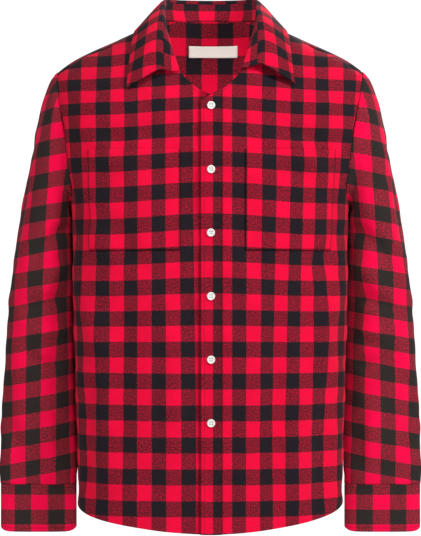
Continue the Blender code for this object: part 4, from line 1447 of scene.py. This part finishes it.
def add_pocket(name, side, inner_q, materials):
    """A patch pocket, its mouth hemmed, its other edges stitched down."""
    columns, rows = POCKET_DIVISIONS
    height = POCKET_TOP_Z - POCKET_BOTTOM_Z
    zs = POCKET_BOTTOM_Z + shares(rows, height, high=False) * height
    area = np.array([[(q, z) for z in zs] for q in inner_q + shares(columns, POCKET_WIDTH) * POCKET_WIDTH])
    edges = ("start", "end", "low")
    points = sewn(front_points(area, side, POCKET_LIFT), edges, FORWARD, POCKET_DIP)
    # painted shade beside its sewn edges and along its rows of stitches
    near = sewn_distance(points, edges)
    hem = edge_distance(points, "high") - POCKET_HEM
    line = np.where(np.abs(hem) < np.abs(near - POCKET_STITCH), hem, near - POCKET_STITCH)
    piece = shell(name, BAND, points, front_check(side, area), pairs(near, line), materials)
    runs = stitch_rows(points, edges, POCKET_STITCH, BAND_WALL / 2, FORWARD)
    runs += stitch_rows(points, ("high",), POCKET_HEM, BAND_WALL / 2, FORWARD)
    add_stitches(f"{name}_stitches", BAND, runs, materials)
    return piece


def add_back(materials):
    """The back panel, below the yoke."""
    area = back_area()
    flat = np.array([[torso_point(q, z, True) for q, z in column] for column in area])
    q, z = area[..., 0], area[..., 1]
    edges = ("start", "end", "high")
    points = sewn(raise_grid(flat, fold_height(q, z, FOLDS["back"]), BACKWARD), edges, BACKWARD)
    check = pairs(q / GRAIN[0], (z - BACK_ROW_Z) / GRAIN[1])
    piece = shell("back", BODY, points, check, seam_map(points, edges, HEM_STITCH), materials)
    runs = stitch_rows(points, ("low",), HEM_STITCH, WALL / 2, BACKWARD)
    add_stitches("back_stitches", BODY, runs, materials)
    return piece


def yoke_check(area, points):
    """Check columns and rows over the yoke: level at the middle of its back, else with the shoulder."""
    x, turn = area[..., 0], area[..., 1]
    level = np.vectorize(lambda z: turn_at(shoulder_z(0.0) - z))(points[..., 2])
    weight = eased((YOKE_LEVEL_X[1] - np.abs(x)) / (YOKE_LEVEL_X[1] - YOKE_LEVEL_X[0]))
    weight = weight * eased(turn / YOKE_LEVEL_TURN)
    rows = ((1 - weight) * turn + weight * level - YOKE_ROW_TURN) / YOKE_ROW_TURNS
    return pairs((x - YOKE_COLUMN) / YOKE_PITCH, rows)


def add_yoke(materials):
    """The yoke over the shoulders."""
    area = yoke_area()
    edges = ("start", "end", "low")
    points = np.array([[shoulder_point(x, turn) for x, turn in column] for column in area])
    points = sewn(points, edges, UPWARD)
    seams = seam_map(points, edges, SEAM_STITCH)
    piece = shell("yoke", BODY, points, yoke_check(area, points), seams, materials)
    runs = stitch_rows(points, ("low",), SEAM_STITCH, WALL / 2, UPWARD)
    add_stitches("yoke_stitches", BODY, runs, materials)
    return piece


def add_sleeve(name, side, materials):
    """A sleeve, with no row of stitches."""
    points = sleeve_points(side)
    outward = points - points.mean(axis=0)
    around, check = sleeve_places(points, side)
    edges = ("low", "high")
    points = raise_grid(points, fold_height(around, points[..., 2], SLEEVE_FOLDS), outward)
    points = sewn(points, edges, outward)
    # painted shade beside its armhole and cuff seams, with no row of stitches
    seams = pairs(sewn_distance(points, edges), np.ones(points.shape[:2]))
    return shell(name, SLEEVE, points, check, seams, materials)


def add_cuff(name, side, materials):
    """A cuff, stitched near its seam, its edge and its lap."""
    points = cuff_points(side)
    outward = points - points.mean(axis=0)
    check = cuff_check(points, side)
    points = sewn(points, ("low",), outward, CUFF_DIP)
    edges = ("low", "high", "end")
    piece = shell(name, CUFF, points, check, seam_map(points, edges, CUFF_STITCH), materials)
    runs = stitch_rows(points, edges, CUFF_STITCH, CUFF_WALL / 2, outward)
    add_stitches(f"{name}_stitches", CUFF, runs, materials)
    return piece


def add_collar(materials):
    """The collar's stand and leaf, with the leaf's edge and the stand's seam stitched."""
    points = stand_points()
    outward = points - points.mean(axis=(0, 1))
    edges = ("low",)
    seams = seam_map(points, edges, STAND_STITCH)
    stand = shell("collar_stand", COLLAR, points, stand_check(points), seams, materials)
    runs = stitch_rows(points, edges, STAND_STITCH, -COLLAR_WALL / 2, outward)
    points = leaf_points()
    outward = points - points.mean(axis=(0, 1))
    edges = ("high", "start", "end")
    seams = seam_map(points, edges, COLLAR_STITCH)
    leaf = shell("collar_leaf", COLLAR, points, leaf_check(points), seams, materials)
    runs += stitch_rows(points, edges, COLLAR_STITCH, COLLAR_WALL / 2, outward)
    add_stitches("collar_stitches", COLLAR, runs, materials)
    return stand, leaf


def add_label(materials):
    """The blank woven label inside the yoke's back, sewn at its ends."""
    columns, rows = LABEL_DIVISIONS
    xs = np.linspace(LABEL_X - LABEL_HALF_WIDTH, LABEL_X + LABEL_HALF_WIDTH, columns + 1)
    zs = np.linspace(LABEL_HEIGHTS[0], LABEL_HEIGHTS[1], rows + 1)
    points = np.array([[shoulder_point(x, turn_at(shoulder_z(x) - z)) for z in zs] for x in xs])
    bulge = LABEL_BULGE * (1 - np.abs(np.linspace(-1, 1, columns + 1)) ** LABEL_BULGE_POWER)
    points = raise_grid(points, LABEL_LIFT + bulge[:, None] + np.zeros(len(zs)), FORWARD)
    # its plain material reads neither map, so both hold its places
    places = np.array([[(x, z) for z in zs] for x in xs])
    piece = shell("label", LABEL, points, places, places, materials)
    runs = stitch_rows(points, ("start", "end"), LABEL_STITCH, LABEL_WALL / 2, FORWARD)
    add_stitches("label_stitches", LABEL, runs, materials)
    return piece


def add_buttons(materials):
    """The placket's buttons, and one on the outer back of each cuff."""
    disc, thread = button_mesh(), thread_mesh()
    disc.materials.append(materials["button"])
    thread.materials.append(materials["button_thread"])
    steps = np.array((-1, 0, 1)) * BUTTON_RADIUS / 3
    for index in range(BUTTON_COUNT):
        z = BUTTON_TOP_Z - index * BUTTON_PITCH
        area = np.array([[(BUTTON_X + dq, z + dz) for dz in steps] for dq in steps])
        points = front_points(area, 1, LAYER_STEP)
        normal = grid_normals(points, FORWARD)[1, 1]
        add_button(f"button_{index + 1}", points[1, 1] + BUTTON_STANDOFF * normal, normal, disc, thread)
    for name, side in (("cuff_button_right", -1), ("cuff_button_left", 1)):
        centre = (side * (CUFF_CENTRE[0] + CUFF_BUTTON_PLACE * CUFF_HALF_WIDTH),
                  CUFF_CENTRE[1] + CUFF_HALF_DEPTH + CUFF_WALL + BUTTON_THICKNESS,
                  CUFF_TOP_Z - CUFF_BUTTON_DROP)
        add_button(name, centre, BACKWARD, disc, thread)


# ================================================================ stage, light and camera
def add_stage():
    """A pale floor well below the shirt, a white surround and the lights."""
    bpy.ops.mesh.primitive_circle_add(vertices=FLOOR_SIDES, radius=FLOOR_RADIUS, fill_type="NGON",
                                      location=(0, 0, FLOOR_Z))
    floor = bpy.context.object
    floor.name = "floor"
    floor.data.materials.append(plain("floor", *FLOOR_FINISH))
    floor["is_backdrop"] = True
    world = bpy.data.worlds.new("surround")
    bpy.context.scene.world = world
    world.use_nodes = True
    tree = world.node_tree
    seen = tree.nodes.new("ShaderNodeLightPath").outputs["Is Camera Ray"]
    strength = math_node(tree, "MULTIPLY_ADD", seen, BACKDROP_EXTRA, WORLD_STRENGTH)
    set_inputs(tree, tree.nodes["Background"], {"Color": STUDIO_WHITE, "Strength": strength})
    bpy.context.scene.view_settings.view_transform = "Standard"
    for name, place, size, aim, power in LIGHTS:
        data = bpy.data.lights.new(name, "AREA")
        data.shape = "RECTANGLE"
        data.size, data.size_y = size
        data.energy = power
        light = add_object(name, data)
        light.location = place
        light.rotation_euler = (Vector(aim) - Vector(place)).to_track_quat("-Z", "Y").to_euler()


def add_camera():
    """The camera straight in front, level with the shirt's middle."""
    data = bpy.data.cameras.new("camera")
    data.sensor_width = SENSOR_WIDTH
    data.lens = data.sensor_width * CAMERA_DISTANCE / FRAME_HEIGHT
    camera = add_object("camera", data)
    camera.location = (0.0, -CAMERA_DISTANCE, CAMERA_Z)
    camera.rotation_euler = (math.pi / 2, 0.0, 0.0)
    bpy.context.scene.camera = camera


def corners(box):
    """A box's lowest and highest corners as plain lists."""
    return [[float(value) for value in corner] for corner in box]


def main():
    """The shirt's pieces, the stage and the camera."""
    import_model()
    solid_box = corners(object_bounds())
    materials = {name: flannel(name, red, black) for name, red, black in FLANNELS}
    for name, *finish in PLAINS:
        materials[name] = plain(name, *finish)
    made = {
        "front_left": add_front("front_left", 1, materials),
        "front_right": add_front("front_right", -1, materials),
        "back": add_back(materials),
        "yoke": add_yoke(materials),
        "front_placket": add_placket(materials),
        "label": add_label(materials),
    }
    for name, side, inner_q in POCKETS:
        made[name] = add_pocket(name, side, inner_q, materials)
    for suffix, side in (("right", -1), ("left", 1)):
        for kind, add_piece in (("sleeve", add_sleeve), ("cuff", add_cuff)):
            made[f"{kind}_{suffix}"] = add_piece(f"{kind}_{suffix}", side, materials)
    made["collar_stand"], made["collar_leaf"] = add_collar(materials)
    add_buttons(materials)
    add_stage()
    add_camera()
    {"cad": solid_box, "visual": corners(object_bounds())}


main()
